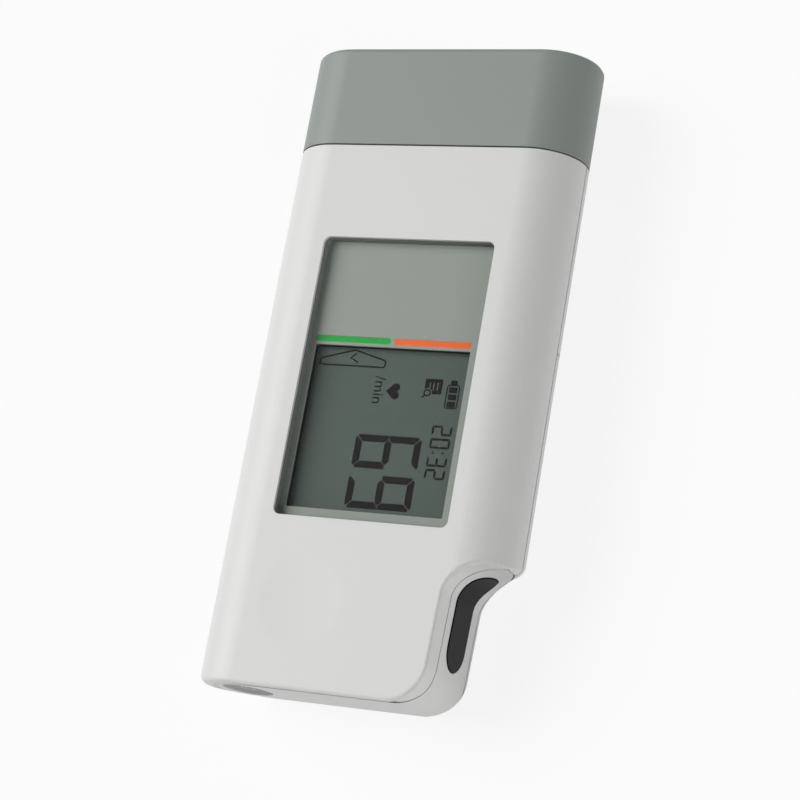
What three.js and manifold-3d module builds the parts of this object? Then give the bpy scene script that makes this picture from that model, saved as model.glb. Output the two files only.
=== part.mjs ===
// Home ECG monitor: a hand-held case with a window, two electrodes, a pull-off cap and two cells.
// Millimetres. +X right, +Y along the case towards the cap, +Z out of the display face.
// The case lies on its back, and the origin is the middle of its footprint.
import * as THREE from 'three';
import { mergeVertices } from 'three/addons/utils/BufferGeometryUtils.js';
import Module from 'manifold-3d';

const wasm = await Module();
wasm.setup();

// Overall form
const width = 58;
const length = 125;
const thickness = 21;
const flankWidth = 9.7; // the rounded flank, seen from the front
const frontDepth = 8.8; // from the face down to the seam round the flanks
const flankLand = 0.8; // straight wall just below the seam
const flankReach = 3.4; // handles of the curve from the flank round to the back
const backCurveWidth = 11.5;
const backCurveReach = 5;
const heelRadius = 7; // back edge of the bottom end
const flankEdgeRadius = 2.2; // its edge round the flanks
const faceEdgeRadius = 0.7; // and round the face
const tipRadius = 1; // edges of the cap's end

// Finger recess at the bottom right
const recessDepth = 11.7; // from the side to its wall, at the face
const recessLean = 0.9; // the wall moves out by this on its way up to the ledge
const recessDraftShare = 0.013; // and by this share of the depth towards the back
const recessHeight = 26.1; // from the bottom end up to the ledge
const cornerWidth = 7.2; // elliptic corner between the bottom end and the wall, at the face
const cornerHeight = 7.8;
const cornerDraftShare = 0.1; // its width shrinks by this share of the depth towards the back
const filletWidth = 8.4; // elliptic fillet between the wall and the ledge
const filletHeight = 6.2;
const wallFaceEdge = 0.5; // the recess's own edges: along the wall
const wallBackEdge = 0.8;
const ledgeFaceEdge = 0.9; // and where the ledge meets the flank
const ledgeBackEdge = 3;
const softBelow = 5; // the back edges' radii hold below this height
const softAbove = 16; // and the front edges' radii above this one

// Skins, seams and clearances
const wall = 1.8;
const doorSkin = 1.2;
const bandSkin = 1.6;
const lining = 1.4; // second wall behind the door and the band
const gap = 0.3; // between outer pieces
const seat = 0.1; // between inner pieces that rest on each other
const overrun = 1; // how far a cut runs past the material
const seamRise = 1.3; // the lip inside the long seams
const capLength = 20.2;

// Thumb dimple in the face
const dimpleRadius = 8.5;
const dimpleDepth = 0.35;
const dimpleOffset = -8.7;
const dimpleHeight = 16.2;

// Grip band round the bottom end and the recess
const bandLow = 1.7;
const bandTop = 16;
const bandFaceInset = 1.4; // what the front shell keeps above the band on the bottom end
const bandRiseLength = 4.6;
const bandEndInset = 3.7; // from the left side to its left end
const bandEndRadius = 3;
const bandTipInset = 0.5;
const bandTipRadius = 1;
const bandSeamInset = 1.4;
const bandBackInset = 2.2;
const bandBackHeight = 7;
const bandCurveRadius = 5;
const bandHeelRadius = 7;

// Finger electrode, let into the band
const fingerWidth = 8.2;
const fingerMiddle = 9.2; // height of its middle line
const fingerLow = 8.1; // lower end, from the bottom end
const fingerEndInset = 5.6; // from the side to its upper end
const fingerProud = 0.2;
const fingerDepth = 0.9;
const fingerGap = 0.15;
const studDiameter = 1.6;
const studHeight = 15;
const studTail = 0.4;

// Display window, mask and liquid crystal cell
const windowWidth = 34.1;
const windowLength = 54;
const windowShift = -0.25;
const windowLowShare = 0.2308; // its lower edge, in the room between the ledge and the cap
const windowRadius = 1.2;
const windowSunk = 1;
const windowGap = 0.15;
const lensThickness = 1.3;
const maskThickness = 0.4;
const lcdViewWidth = 31.1;
const lcdViewLength = 31.5;
const lcdViewShift = -0.75;
const lcdViewInset = 2; // its lower edge, from the window's lower edge
const lcdMargin = 0.7;
const lcdEndMargin = 2.4;
const lcdThickness = 1.4;
const lcdDrop = 1.15; // from the mask down to the glass
const shelfWidth = 0.5;
const shelfEndWidth = 1.2;
const shelfThickness = 0.9;
const rimThickness = 1.6;
const zebraWidth = 2;
const zebraInset = 0.3;
const holderWall = 0.8;
const holderHeight = 1.6;

// Power button in the bottom end, and its switch
const buttonDiameter = 8.9;
const buttonMiddle = 13.5;
const buttonSunk = 0.15;
const buttonDish = 0.25;
const buttonGap = 0.25;
const buttonTravel = 0.5;
const flangeRadiusExtra = 0.8;
const flangeThickness = 0.8;
const stemDiameter = 3;
const stemLength = 1.2;
const plungerDiameter = 2;
const plungerLength = 1.3;
const plungerGap = 0.3;
const switchSize = 6;
const switchHeight = 3.8;
const switchLength = 3.5;
const switchRoom = 0.7; // from the stem to the switch

// Cells, bay and contacts
const cellDiameter = 10.5;
const cellLength = 44.5;
const nubDiameter = 3.8;
const nubLength = 1;
const cellRim = 0.5;
const cellGap = 0.5;
const contactRoom = 3;
const bayShift = 0.9; // from the middle of the room beside the recess
const bayLow = 12;
const doorMargin = 5.5; // from the bay to the door's cross line
const bayWall = 1.2;
const bayRoof = 0.8;
const plateThickness = 0.4;
const plateWidth = 8.6;
const plateHeight = 8;
const nubGap = 0.2;
const wireDiameter = 0.4;
const springTurns = 2.5;
const springBase = 3.3;
const springTip = 2.1;

// Main board and its parts
const boardThickness = 0.8;
const boardMargin = 0.1; // on each side of the display's holder
const boardSideRoom = 0.7; // beside the recess's lining
const boardLedgeRoom = 1.6; // above the recess's lining
const boardLow = 14;
const boardTopInset = 4.8; // from the cap's seam
const tabHalf = 4;
const tabLow = 6.6;
const tabHigh = 13.2;
const armReach = 4;
const armWidth = 4;
const chipSize = 7;
const chipHeight = 1.2;
const chipPlaceShare = 0.24; // in the room between the display's holder and the board's end
const ampSize = 5;
const ampPlaceShare = 0.69;
const leadThickness = 0.4;
const leadWidth = 2.6;
const leadFoot = 4;
const leadBend = 0.8;
const chestLeadOffset = 5;

// Electrode head under the cap
const headLength = 12.7; // how far it stands out of the shells
const headRoot = 5.8; // how far it reaches into them
const headWall = 1.5;
const headEdge = 0.6;
const chestWidth = 34;
const chestHeight = 10;
const chestThickness = 1.2;
const chestDome = 0.4;
const capEndWall = 2.1;

// Screws under the battery door
const screwShaft = 1.9;
const screwHead = 3.8;
const screwHeadHeight = 1.4;
const screwFloor = 3.8; // lowest face of the heads
const screwLength = 7.6;
const socketWidth = 1.6;
const socketDepth = 0.7;
const bossDiameter = 4.2;
const padDiameter = 6;
const padHeight = 1.4;
const screwSideInset = 8.5; // from the sides
const screwRecessInset = 7; // from the recess's wall
const screwLeftHeight = 17; // from the bottom end
const screwRightHeight = 7.8;
const screwBayMargin = 1; // above the bay

// Fineness of the curves
const coarse = 3;
const medium = 5;
const fine = 8;
const roundSides = 24;
const screwSides = 18;
const buttonSides = 40;
const socketSides = 6;
const domeRings = 4;
const edgeSteps = 4;
const bevelSteps = 3;
const cornerSteps = 6;
const filletSteps = 7;
const leastEdge = 0.05; // an edge that counts as sharp
const lap = 0.02; // how far a tangent cut starts outside the surface
const heelLevelShares = [0, 0.03, 0.1, 0.25, 0.5, 1]; // levels in the heel
const faceLevelShares = [4, 2, 1, 0.5, 0.2]; // levels below the face, in edge radii
const flankSpanShares = [-0.2, 0, 0.12, 0.4, 1]; // places on the ledge beside the flank
const wireSides = 5;
const wireStepsPerTurn = 12;
const dimpleSides = 40;
const meshTolerance = 1e-5;

// Levels that follow from the sizes
const half = width / 2;
const bottom = -length / 2;
const top = length / 2;
const flatHalf = half - flankWidth;
const seam = thickness - frontDepth;
const landEnd = seam - flankLand;
const recessWall = half - recessDepth;
const bandEnd = half - bandEndInset;
const fingerReach = half - fingerEndInset;
const buttonOffset = -flatHalf;
const doorRoom = doorSkin + gap;
const bandRoom = bandSkin + gap;
const deepWall = bandRoom + lining; // in the bottom end and the recess
const capSeam = top - capLength;
const ledge = bottom + recessHeight;
const lensTop = thickness - windowSunk;
const lensBottom = lensTop - lensThickness;
const maskBottom = lensBottom - maskThickness;
const windowLow = ledge + windowLowShare * (capSeam - ledge - windowLength);
const windowMiddle = windowLow + windowLength / 2;
const shelfTop = maskBottom - seat;
const lcdTop = maskBottom - lcdDrop;
const lcdBottom = lcdTop - lcdThickness;
const lcdMiddle = windowLow + lcdViewInset + lcdViewLength / 2;
const lcdWidth = lcdViewWidth + 2 * lcdMargin;
const lcdLength = lcdViewLength + 2 * lcdEndMargin;
const cellFloor = doorSkin + gap;
const cellMiddle = cellFloor + cellDiameter / 2;
const bayCeiling = cellFloor + cellDiameter + gap;
const boardBottom = bayCeiling + bayRoof + gap;
const boardTop = boardBottom + boardThickness;
const bayWidth = 2 * cellDiameter + 3 * cellGap;
const bayLength = cellLength + 2 * contactRoom;
const bayStart = bottom + bayLow;
const bayStop = bayStart + bayLength;
const bayMiddle = (recessWall - half) / 2 + bayShift;
const doorEnd = bayStop + doorMargin;
const cellPitch = cellDiameter + cellGap;
const headEnd = capSeam + headLength;
const holderHalf = lcdWidth / 2 + gap + holderWall;
const holderEnd = lcdMiddle + lcdLength / 2 + gap + holderWall;
const boardLeft = lcdViewShift - holderHalf - boardMargin;
const boardRight = lcdViewShift + holderHalf + boardMargin;
const boardEnd = capSeam - boardTopInset;
const screwSeat = screwFloor + screwHeadHeight;
const screwTop = screwSeat + screwLength;
const padTop = screwSeat + padHeight;
const screwSide = half - screwSideInset;
const screwSpots = [
  { name: 'screw_lower_left', x: -screwSide, y: bottom + screwLeftHeight },
  { name: 'screw_lower_right', x: recessWall - screwRecessInset, y: bottom + screwRightHeight },
  { name: 'screw_upper_left', x: -screwSide, y: bayStop + screwBayMargin },
  { name: 'screw_upper_right', x: screwSide, y: bayStop + screwBayMargin },
];

// Finishes
const finishes = {
  white: { color: 0xd6d6d3, roughness: 0.45, metalness: 0 },
  sage: { color: 0x8f968f, roughness: 0.5, metalness: 0 },
  grip: { color: 0xcfd0ce, roughness: 0.5, metalness: 0 },
  conductive: { color: 0x232323, roughness: 0.4, metalness: 0 },
  button: { color: 0x7d7d7c, roughness: 0.5, metalness: 0 },
  clear: { color: 0xf4f6f5, roughness: 0.05, metalness: 0 },
  mask: { color: 0x949b92, roughness: 0.6, metalness: 0 },
  lcd: { color: 0x545e58, roughness: 0.25, metalness: 0 },
  steel: { color: 0xb9babb, roughness: 0.3, metalness: 1 },
  circuit: { color: 0x1f5a38, roughness: 0.5, metalness: 0 },
  chip: { color: 0x1b1b1c, roughness: 0.5, metalness: 0 },
  rubber: { color: 0x3a3a3a, roughness: 0.8, metalness: 0 },
  inner: { color: 0xb9bab6, roughness: 0.6, metalness: 0 },
  cell: { color: 0x3c4046, roughness: 0.35, metalness: 0.2 },
};

// Turn a closed geometry into a solid, and a solid back into a geometry
function solidOf(geometry) {
  const bare = geometry.clone();
  bare.deleteAttribute('normal');
  bare.deleteAttribute('uv');
  const merged = mergeVertices(bare);
  return new wasm.Manifold(new wasm.Mesh({
    numProp: 3,
    vertProperties: Float32Array.from(merged.attributes.position.array),
    triVerts: Uint32Array.from(merged.index.array),
  }));
}

function geometryOf(solid) {
  const mesh = solid.getMesh();
  const geometry = new THREE.BufferGeometry();
  geometry.setAttribute('position', new THREE.BufferAttribute(mesh.vertProperties, 3));
  geometry.setIndex(new THREE.BufferAttribute(mesh.triVerts, 1));
  geometry.computeVertexNormals();
  return geometry;
}

const cut = (body, ...tools) => tools.reduce((rest, tool) => rest.subtract(tool), body);
const join = (...bodies) => bodies.reduce((whole, body) => whole.add(body));
const common = (...bodies) => bodies.reduce((whole, body) => whole.intersect(body));

// Outline with a rounded corner wherever [x, y, radius] has a radius, in either turning sense
function roundedShape(corners) {
  const shape = new THREE.Shape();
  corners.forEach(([x, y, radius = 0], index) => {
    const here = new THREE.Vector2(x, y);
    const back = new THREE.Vector2(...corners.at(index - 1)).sub(here).normalize();
    const ahead = new THREE.Vector2(...corners[(index + 1) % corners.length]).sub(here).normalize();
    const halfAngle = Math.acos(THREE.MathUtils.clamp(back.dot(ahead), -1, 1)) / 2;
    const start = here.clone().addScaledVector(back, radius / Math.tan(halfAngle));
    const end = here.clone().addScaledVector(ahead, radius / Math.tan(halfAngle));
    if (index) shape.lineTo(start.x, start.y);
    else shape.moveTo(start.x, start.y);
    if (radius > 0) {
      const inward = back.clone().add(ahead).normalize();
      const centre = here.clone().addScaledVector(inward, radius / Math.sin(halfAngle));
      const clockwise = ahead.cross(back) < 0;
      const from = start.sub(centre).angle();
      shape.absarc(centre.x, centre.y, radius, from, end.sub(centre).angle(), clockwise);
    }
  });
  shape.closePath();
  return shape;
}

const rectangle = (x0, x1, y0, y1, radius = 0) =>
  roundedShape([[x0, y0, radius], [x1, y0, radius], [x1, y1, radius], [x0, y1, radius]]);

// Prisms along the three axes: the shape is drawn in XY, in XZ or in YZ
function prismZ(shape, low, high, curveSegments = medium) {
  const settings = { depth: high - low, bevelEnabled: false, curveSegments };
  return solidOf(new THREE.ExtrudeGeometry(shape, settings).translate(0, 0, low));
}

function prismY(shape, low, high, curveSegments = medium, edge = 0) {
  const geometry = new THREE.ExtrudeGeometry(shape, {
    depth: high - low - 2 * edge,
    bevelEnabled: edge > 0,
    bevelThickness: edge,
    bevelSize: edge,
    bevelOffset: -edge,
    bevelSegments: bevelSteps,
    curveSegments,
  });
  return solidOf(geometry.translate(0, 0, edge - high).rotateX(Math.PI / 2));
}

function prismX(shape, low, high, curveSegments = medium) {
  const settings = { depth: high - low, bevelEnabled: false, curveSegments };
  return solidOf(new THREE.ExtrudeGeometry(shape, settings)
    .translate(0, 0, low).rotateX(Math.PI / 2).rotateZ(Math.PI / 2));
}

const box = (x0, x1, y0, y1, z0, z1) =>
  solidOf(new THREE.BoxGeometry(x1 - x0, y1 - y0, z1 - z0)
    .translate((x0 + x1) / 2, (y0 + y1) / 2, (z0 + z1) / 2));

// Turned piece: [radius, height] pairs from axis to axis, standing on +Z or lying along +Y
const turnedZ = (profile, x, y, sides = roundSides) =>
  solidOf(new THREE.LatheGeometry(profile.map(([r, h]) => new THREE.Vector2(r, h)), sides)
    .rotateX(Math.PI / 2).translate(x, y, 0));

const turnedY = (profile, x, z, sides = roundSides) =>
  solidOf(new THREE.LatheGeometry(profile.map(([r, h]) => new THREE.Vector2(r, h)), sides)
    .translate(x, 0, z));

const cylinderZ = (radius, low, high, x, y) =>
  turnedZ([[0, low], [radius, low], [radius, high], [0, high]], x, y, screwSides);

const cylinderY = (radius, low, high, x, z) =>
  turnedY([[0, low], [radius, low], [radius, high], [0, high]], x, z);

// Solid between equal rings of points, one above the other or one before the other
function loft(rings, flat = (p) => new THREE.Vector2(p.x, p.y)) {
  const count = rings[0].length;
  const points = rings.flat();
  const cap = THREE.ShapeUtils.triangulateShape(rings[0].map(flat), []);
  const lastRing = count * (rings.length - 1);
  const index = cap.flatMap(([a, b, c]) => [c, b, a, lastRing + a, lastRing + b, lastRing + c]);
  for (let ring = 0; ring < rings.length - 1; ring += 1) {
    for (let i = 0; i < count; i += 1) {
      const a = ring * count + i;
      const b = ring * count + ((i + 1) % count);
      index.push(a, b, b + count, a, b + count, a + count);
    }
  }
  const geometry = new THREE.BufferGeometry().setFromPoints(points);
  geometry.setIndex(index);
  return solidOf(geometry);
}

// Cross-section of the case, drawn in XZ: elliptic flanks in front, a softer curve to the flat back
function sectionShape(inset) {
  const edge = half - inset;
  const backFlat = half - backCurveWidth;
  const backHandle = half - backCurveReach - inset;
  const shape = new THREE.Shape();
  shape.moveTo(-backFlat, inset);
  shape.lineTo(backFlat, inset);
  shape.bezierCurveTo(backHandle, inset, edge, landEnd - flankReach, edge, landEnd);
  shape.lineTo(edge, seam);
  shape.absellipse(flatHalf, seam, flankWidth - inset, frontDepth - inset, 0, Math.PI / 2);
  shape.lineTo(-flatHalf, thickness - inset);
  shape.absellipse(-flatHalf, seam, flankWidth - inset, frontDepth - inset, Math.PI / 2, Math.PI);
  shape.lineTo(-edge, landEnd);
  shape.bezierCurveTo(-edge, landEnd - flankReach, -backHandle, inset, -backFlat, inset);
  return shape;
}

// The same as points with their outward normals
function sectionSpots(inset) {
  const ring = sectionShape(inset).getPoints(fine);
  const kept = ring.filter((p, i) => p.distanceTo(ring.at(i - 1)) > meshTolerance);
  return kept.map((point, i) => {
    const along = kept[(i + 1) % kept.length].clone().sub(kept.at(i - 1));
    return { point, normal: new THREE.Vector2(along.y, -along.x).normalize() };
  });
}

// Half width of that cross-section at a height
function halfWidthAt(height) {
  if (height >= seam) {
    const rise = Math.min((height - seam) / frontDepth, 1);
    return flatHalf + flankWidth * Math.sqrt(1 - rise ** 2);
  }
  const curve = new THREE.CubicBezierCurve(
    new THREE.Vector2(half - backCurveWidth, 0), new THREE.Vector2(half - backCurveReach, 0),
    new THREE.Vector2(half, landEnd - flankReach), new THREE.Vector2(half, landEnd));
  return curve.getPoints(roundSides).find((point) => point.y >= height)?.x ?? half;
}

// How deep a point lies in the cross-section: it is convex, so its nearest side decides
const sectionSides = sectionSpots(0).map(({ point }, i, all) => {
  const along = all[(i + 1) % all.length].point.clone().sub(point).normalize();
  return { point, inward: new THREE.Vector2(-along.y, along.x) };
});
const depthAt = (x, height) => Math.min(...sectionSides.map(({ point, inward }) =>
  inward.x * (x - point.x) + inward.y * (height - point.y)));

// How far the finger recess flares into the case where an edge is rounded
function flare(x, height, backEdge, faceEdge, inset) {
  const share = THREE.MathUtils.smoothstep(height, softBelow, softAbove);
  const radius = THREE.MathUtils.lerp(backEdge, faceEdge, share) - inset;
  const depth = Math.max(depthAt(x, height) - inset, 0);
  return radius > depth ? radius - Math.sqrt(radius ** 2 - (radius - depth) ** 2) : 0;
}

// Outline of the space outside the finger recess at a height: corner, leaning wall, fillet and ledge.
// The heel of the bottom end dies out round the corner, and the ledge's edges grow towards the flank.
// Inside the skins the ledge stays sharp, so that the door slides past the band.
function recessRing(inset, height) {
  const { lerp, smoothstep } = THREE.MathUtils;
  const shift = recessDraftShare * (thickness - height);
  const wallAt = (rise) => recessWall + shift + recessLean * (rise / recessHeight);
  const soften = (x, back, face) => (inset > 0 ? 0 : flare(x, height, back, face, inset));
  const broad = cornerWidth - cornerDraftShare * (thickness - height);
  const cornerX = wallAt(cornerHeight) - broad;
  const cornerArc = Array.from({ length: cornerSteps + 1 }, (_, step) => {
    const share = step / cornerSteps;
    const angle = (share - 1) * (Math.PI / 2);
    const backEdge = lerp(heelRadius, wallBackEdge, smoothstep(share, 0, 1));
    const faceEdge = lerp(faceEdgeRadius, wallFaceEdge, share);
    const grow = inset + flare(cornerX + (broad - inset) * Math.cos(angle), height, backEdge, faceEdge, inset);
    return [
      cornerX + Math.max(broad - grow, leastEdge) * Math.cos(angle),
      bottom + cornerHeight - lap + Math.max(cornerHeight - grow, leastEdge) * Math.sin(angle),
    ];
  });
  const filletX = wallAt(recessHeight - filletHeight) + filletWidth;
  const filletArc = Array.from({ length: filletSteps + 1 }, (_, step) => {
    const share = step / filletSteps;
    const angle = Math.PI - share * (Math.PI / 2);
    const soft = smoothstep(share, 0, 1);
    const x = filletX + (filletWidth + inset) * Math.cos(angle);
    const grow = inset + soften(x, lerp(wallBackEdge, ledgeBackEdge, soft),
      lerp(wallFaceEdge, ledgeFaceEdge, soft));
    return [
      filletX + (filletWidth + grow) * Math.cos(angle),
      ledge - filletHeight + (filletHeight + grow) * Math.sin(angle),
    ];
  });
  const flank = halfWidthAt(height);
  const far = half + shift + overrun;
  const ledgeLine = [...flankSpanShares].reverse().map((share, index) => {
    const x = Math.max(flank - share * ledgeBackEdge, filletX + (index + 1) * seat);
    return [x, ledge + inset + soften(x, ledgeBackEdge, ledgeFaceEdge)];
  });
  const ring = [
    [cornerX, bottom - 2 * overrun],
    ...cornerArc,
    ...filletArc,
    ...ledgeLine,
    [far, ledgeLine.at(-1)[1]],
    [far, bottom - 2 * overrun],
  ];
  return ring.reverse().map(([x, y]) => new THREE.Vector3(x, y, height));
}

// The space itself, through levels that are close together where the edges are rounded
function recessVoid(inset) {
  const heelLevels = heelLevelShares.map((share) => inset + share * (heelRadius - inset));
  const faceLevels = faceLevelShares.map((share) => thickness - share * ledgeFaceEdge);
  const upper = inset > 0 ? [] : [seam, ...faceLevels, thickness];
  const levels = [-overrun, ...heelLevels, ...upper, thickness + overrun];
  return loft(levels.map((height) => recessRing(inset, height)));
}

// Edge radius of the bottom end at a height: tight round the face, wider at the flanks, a heel at the back
function endRadius(height) {
  const { lerp, smoothstep, mapLinear } = THREE.MathUtils;
  if (height > seam) return mapLinear(height, seam, thickness, flankEdgeRadius, faceEdgeRadius);
  return lerp(flankEdgeRadius, heelRadius, smoothstep(seam - height, 0, seam));
}

// The whole case form, its surface moved inwards; the bottom end and the recess may move further.
// It is a loft of the cross-section whose ends are drawn in along the section's own normals.
// Front shell, back, lining, door and band are all cut from it, so their walls nest.
function caseForm(inset, deep = inset) {
  const spots = sectionSpots(inset);
  const radii = sectionSpots(0).map(({ point }) => endRadius(point.y) - deep);
  const angles = Array.from({ length: edgeSteps + 1 }, (_, step) => (step / edgeSteps) * (Math.PI / 2));
  const drawn = ({ point, normal }, y, draw) =>
    new THREE.Vector3(point.x - normal.x * draw, y, point.y - normal.y * draw);
  const low = angles.map((angle) => spots.map((spot, i) => {
    const edge = Math.max(radii[i], leastEdge);
    const draw = edge * (1 - Math.sin(angle)) + (radii[i] > 0 ? deep - inset : 0);
    return drawn(spot, bottom + deep + edge * (1 - Math.cos(angle)), draw);
  }));
  const last = low.at(-1);
  const step = deep > inset ? [
    last.map((p) => new THREE.Vector3(p.x, p.y + deep, p.z)),
    last.map((p, i) => drawn(spots[i], p.y + deep + leastEdge, 0)),
  ] : [];
  const edge = Math.max(tipRadius - inset, leastEdge);
  const high = angles.map((angle) => spots.map((spot) =>
    drawn(spot, top - inset - edge * (1 - Math.sin(angle)), edge * (1 - Math.cos(angle)))));
  const rings = [...low, ...step, ...high].reverse();
  return cut(loft(rings, (p) => new THREE.Vector2(p.x, p.z)), recessVoid(deep));
}

const slab = (y0, y1, z0, z1) => box(-half - overrun, half + overrun, y0, y1, z0, z1);

const outerForm = caseForm(0);
const doorForm = caseForm(doorSkin, bandSkin);
const wallForm = caseForm(wall);
const liningForm = caseForm(doorRoom, bandRoom);
const deepForm = caseForm(doorRoom + lining, deepWall);
const frontCavity = caseForm(wall, deepWall);

// Where the band lies: its side view with the rising end, and its section with the rounded tips.
// It stays inside the door's skin, so the door slides past it.
function bandZone(grow) {
  const rise = thickness - bandFaceInset;
  const side = new THREE.Shape();
  side.moveTo(bottom - overrun, bandLow - grow);
  side.lineTo(ledge + bandSkin + grow, bandLow - grow);
  side.lineTo(ledge + bandSkin + grow, bandTop + grow);
  side.lineTo(bottom + bandRiseLength, bandTop + grow);
  side.absellipse(bottom + bandRiseLength, rise, bandRiseLength - grow, rise - bandTop - grow,
    -Math.PI / 2, -Math.PI, true);
  side.lineTo(bottom + grow, rise + grow);
  side.lineTo(bottom - overrun, rise + grow);
  const section = roundedShape([
    [-bandEnd - grow, bandLow - grow, bandHeelRadius + grow],
    [halfWidthAt(bandLow) - bandBackInset + grow, bandLow - grow],
    [halfWidthAt(bandBackHeight) - bandBackInset + grow, bandBackHeight, bandCurveRadius],
    [half - bandSeamInset + grow, seam, bandCurveRadius],
    [halfWidthAt(bandTop) - bandTipInset + grow, bandTop, bandTipRadius],
    [flatHalf + grow, rise + grow, bandTipRadius],
    [-flatHalf, rise + grow, bandCurveRadius],
    [-bandEnd - grow, bandTop, bandEndRadius + grow],
  ]);
  const start = bottom - 2 * overrun;
  const stop = ledge + bandSkin + grow;
  const clearOfDoor = join(
    prismY(sectionShape(doorRoom - grow), start, stop, fine),
    slab(start, stop, seam, thickness + overrun),
  );
  return common(
    prismX(side, -half - overrun, half + overrun, medium),
    prismY(section, start, stop, medium),
    clearOfDoor,
  );
}

const bandSlot = cut(bandZone(gap), caseForm(0, bandRoom));
const buttonBore = cylinderY(buttonDiameter / 2 + buttonGap, bottom - overrun, bottom + deepWall + overrun,
  buttonOffset, buttonMiddle);

// Window opening, seen from the front
const windowShape = (grow) => rectangle(
  windowShift - windowWidth / 2 - grow, windowShift + windowWidth / 2 + grow,
  windowMiddle - windowLength / 2 - grow, windowMiddle + windowLength / 2 + grow,
  windowRadius + Math.max(grow, 0));

const shelfShape = () => rectangle(
  windowShift - windowWidth / 2 + shelfWidth, windowShift + windowWidth / 2 - shelfWidth,
  windowMiddle - windowLength / 2 + shelfEndWidth, windowMiddle + windowLength / 2 - shelfEndWidth,
  windowRadius);

// Front shell: face, flanks down to the seam, window rim and four screw bosses
function makeFrontShell() {
  const shell = common(
    cut(outerForm, frontCavity),
    slab(bottom - overrun, capSeam - gap / 2, seam, thickness + overrun),
  );
  const rim = prismZ(windowShape(rimThickness), shelfTop - shelfThickness, thickness - wall + seat);
  const clear = join(
    caseForm(doorRoom + lining + gap, deepWall + gap),
    slab(bottom + wall, top - wall, seam, thickness - wall + seat),
  );
  const bosses = screwSpots.map(({ x, y }) =>
    common(clear, cylinderZ(bossDiameter / 2, padTop + gap, thickness - wall + seat, x, y)));
  const pilots = screwSpots.map(({ x, y }) =>
    cylinderZ(screwShaft / 2 + gap, padTop, screwTop + gap, x, y));
  const dimpleBall = (dimpleRadius ** 2 + dimpleDepth ** 2) / (2 * dimpleDepth);
  const dimpleArc = Array.from({ length: domeRings + 1 }, (_, ring) => {
    const radius = (dimpleRadius * ring) / domeRings;
    const drop = dimpleBall - dimpleDepth - Math.sqrt(dimpleBall ** 2 - radius ** 2);
    return [radius, thickness + drop];
  });
  const dimple = turnedZ([...dimpleArc, [dimpleRadius, thickness + overrun], [0, thickness + overrun]],
    dimpleOffset, bottom + dimpleHeight, dimpleSides);
  return cut(
    join(shell, rim, ...bosses),
    bandSlot,
    buttonBore,
    prismZ(windowShape(windowGap), shelfTop, thickness + overrun),
    prismZ(shelfShape(), shelfTop - shelfThickness - overrun, thickness),
    dimple,
    ...pilots,
  );
}

// Battery door: the back below the cross line, wrapped round both flanks up to the seam
function makeBatteryDoor() {
  return cut(
    common(cut(outerForm, doorForm), slab(bottom - overrun, doorEnd - gap / 2, -overrun, seam - gap)),
    bandSlot,
  );
}

// Rear shell: the fixed back above the door, the lining under the door, and the cell bay
function makeRearShell() {
  const doorStop = doorEnd + gap / 2;
  const sill = doorStop + wall;
  const lipStart = ledge + deepWall + gap;
  const lipStop = capSeam - headRoot - gap;
  const back = common(cut(outerForm, wallForm), slab(doorStop, capSeam - gap / 2, -overrun, seam - gap));
  const step = common(cut(outerForm, deepForm), slab(doorStop, sill, -overrun, seam - gap));
  const tub = common(cut(liningForm, deepForm), slab(bottom - overrun, sill, -overrun, seam - gap));
  const lip = common(
    cut(caseForm(wall + gap), deepForm),
    slab(lipStart, lipStop, seam - 2 * gap, seam + seamRise),
  );
  const lipRoot = common(
    cut(wallForm, deepForm),
    slab(lipStart, lipStop, seam - seamRise - gap, seam - gap),
  );
  const bayLeft = bayMiddle - bayWidth / 2;
  const bayRight = bayMiddle + bayWidth / 2;
  const bay = common(liningForm, box(bayLeft - bayWall, bayRight + bayWall,
    bayStart - bayWall, bayStop + bayWall, 0, bayCeiling + bayRoof));
  const pads = screwSpots.map(({ x, y }) => common(liningForm,
    cylinderZ(padDiameter / 2, 0, padTop, x, y)));
  const heads = screwSpots.map(({ x, y }) =>
    cylinderZ(screwHead / 2 + gap, -overrun, screwSeat + seat, x, y));
  const shafts = screwSpots.map(({ x, y }) =>
    cylinderZ(screwShaft / 2 + gap, 0, seam, x, y));
  return cut(
    join(back, step, tub, lipRoot, lip, bay, ...pads),
    box(bayLeft, bayRight, bayStart, bayStop, -overrun, bayCeiling),
    bandSlot,
    buttonBore,
    fingerBore,
    ...heads,
    ...shafts,
  );
}

// Where the finger electrode lies: rounded below in side view, rounded at its end in section
function fingerZone(grow) {
  const low = fingerMiddle - fingerWidth / 2 - grow;
  const high = fingerMiddle + fingerWidth / 2 + grow;
  const round = fingerWidth / 2 + grow;
  const start = bottom + fingerLow - grow;
  const stop = ledge + bandSkin;
  const side = roundedShape([[start, low, round], [stop, low], [stop, high], [start, high, round]]);
  const reach = fingerReach + grow;
  const section = roundedShape([[0, low], [reach, low, round], [reach, high, round], [0, high]]);
  return common(
    prismX(side, 0, half + overrun, medium),
    prismY(section, bottom, stop, medium),
  );
}

const studLine = [bottom + studHeight, fingerMiddle];
const rod = (radius, from, to, [y, z], sides = roundSides / 2) =>
  solidOf(new THREE.CylinderGeometry(radius, radius, to - from, sides).rotateZ(Math.PI / 2)
    .translate((from + to) / 2, y, z));
const studInner = recessWall - deepWall - studTail;
const fingerBore = rod(studDiameter / 2 + gap, studInner - overrun, recessWall, studLine);

function makeFingerElectrode() {
  const plate = common(fingerZone(0), cut(caseForm(0, -fingerProud), caseForm(0, fingerDepth)));
  return join(plate, rod(studDiameter / 2, studInner, recessWall, studLine));
}

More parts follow.
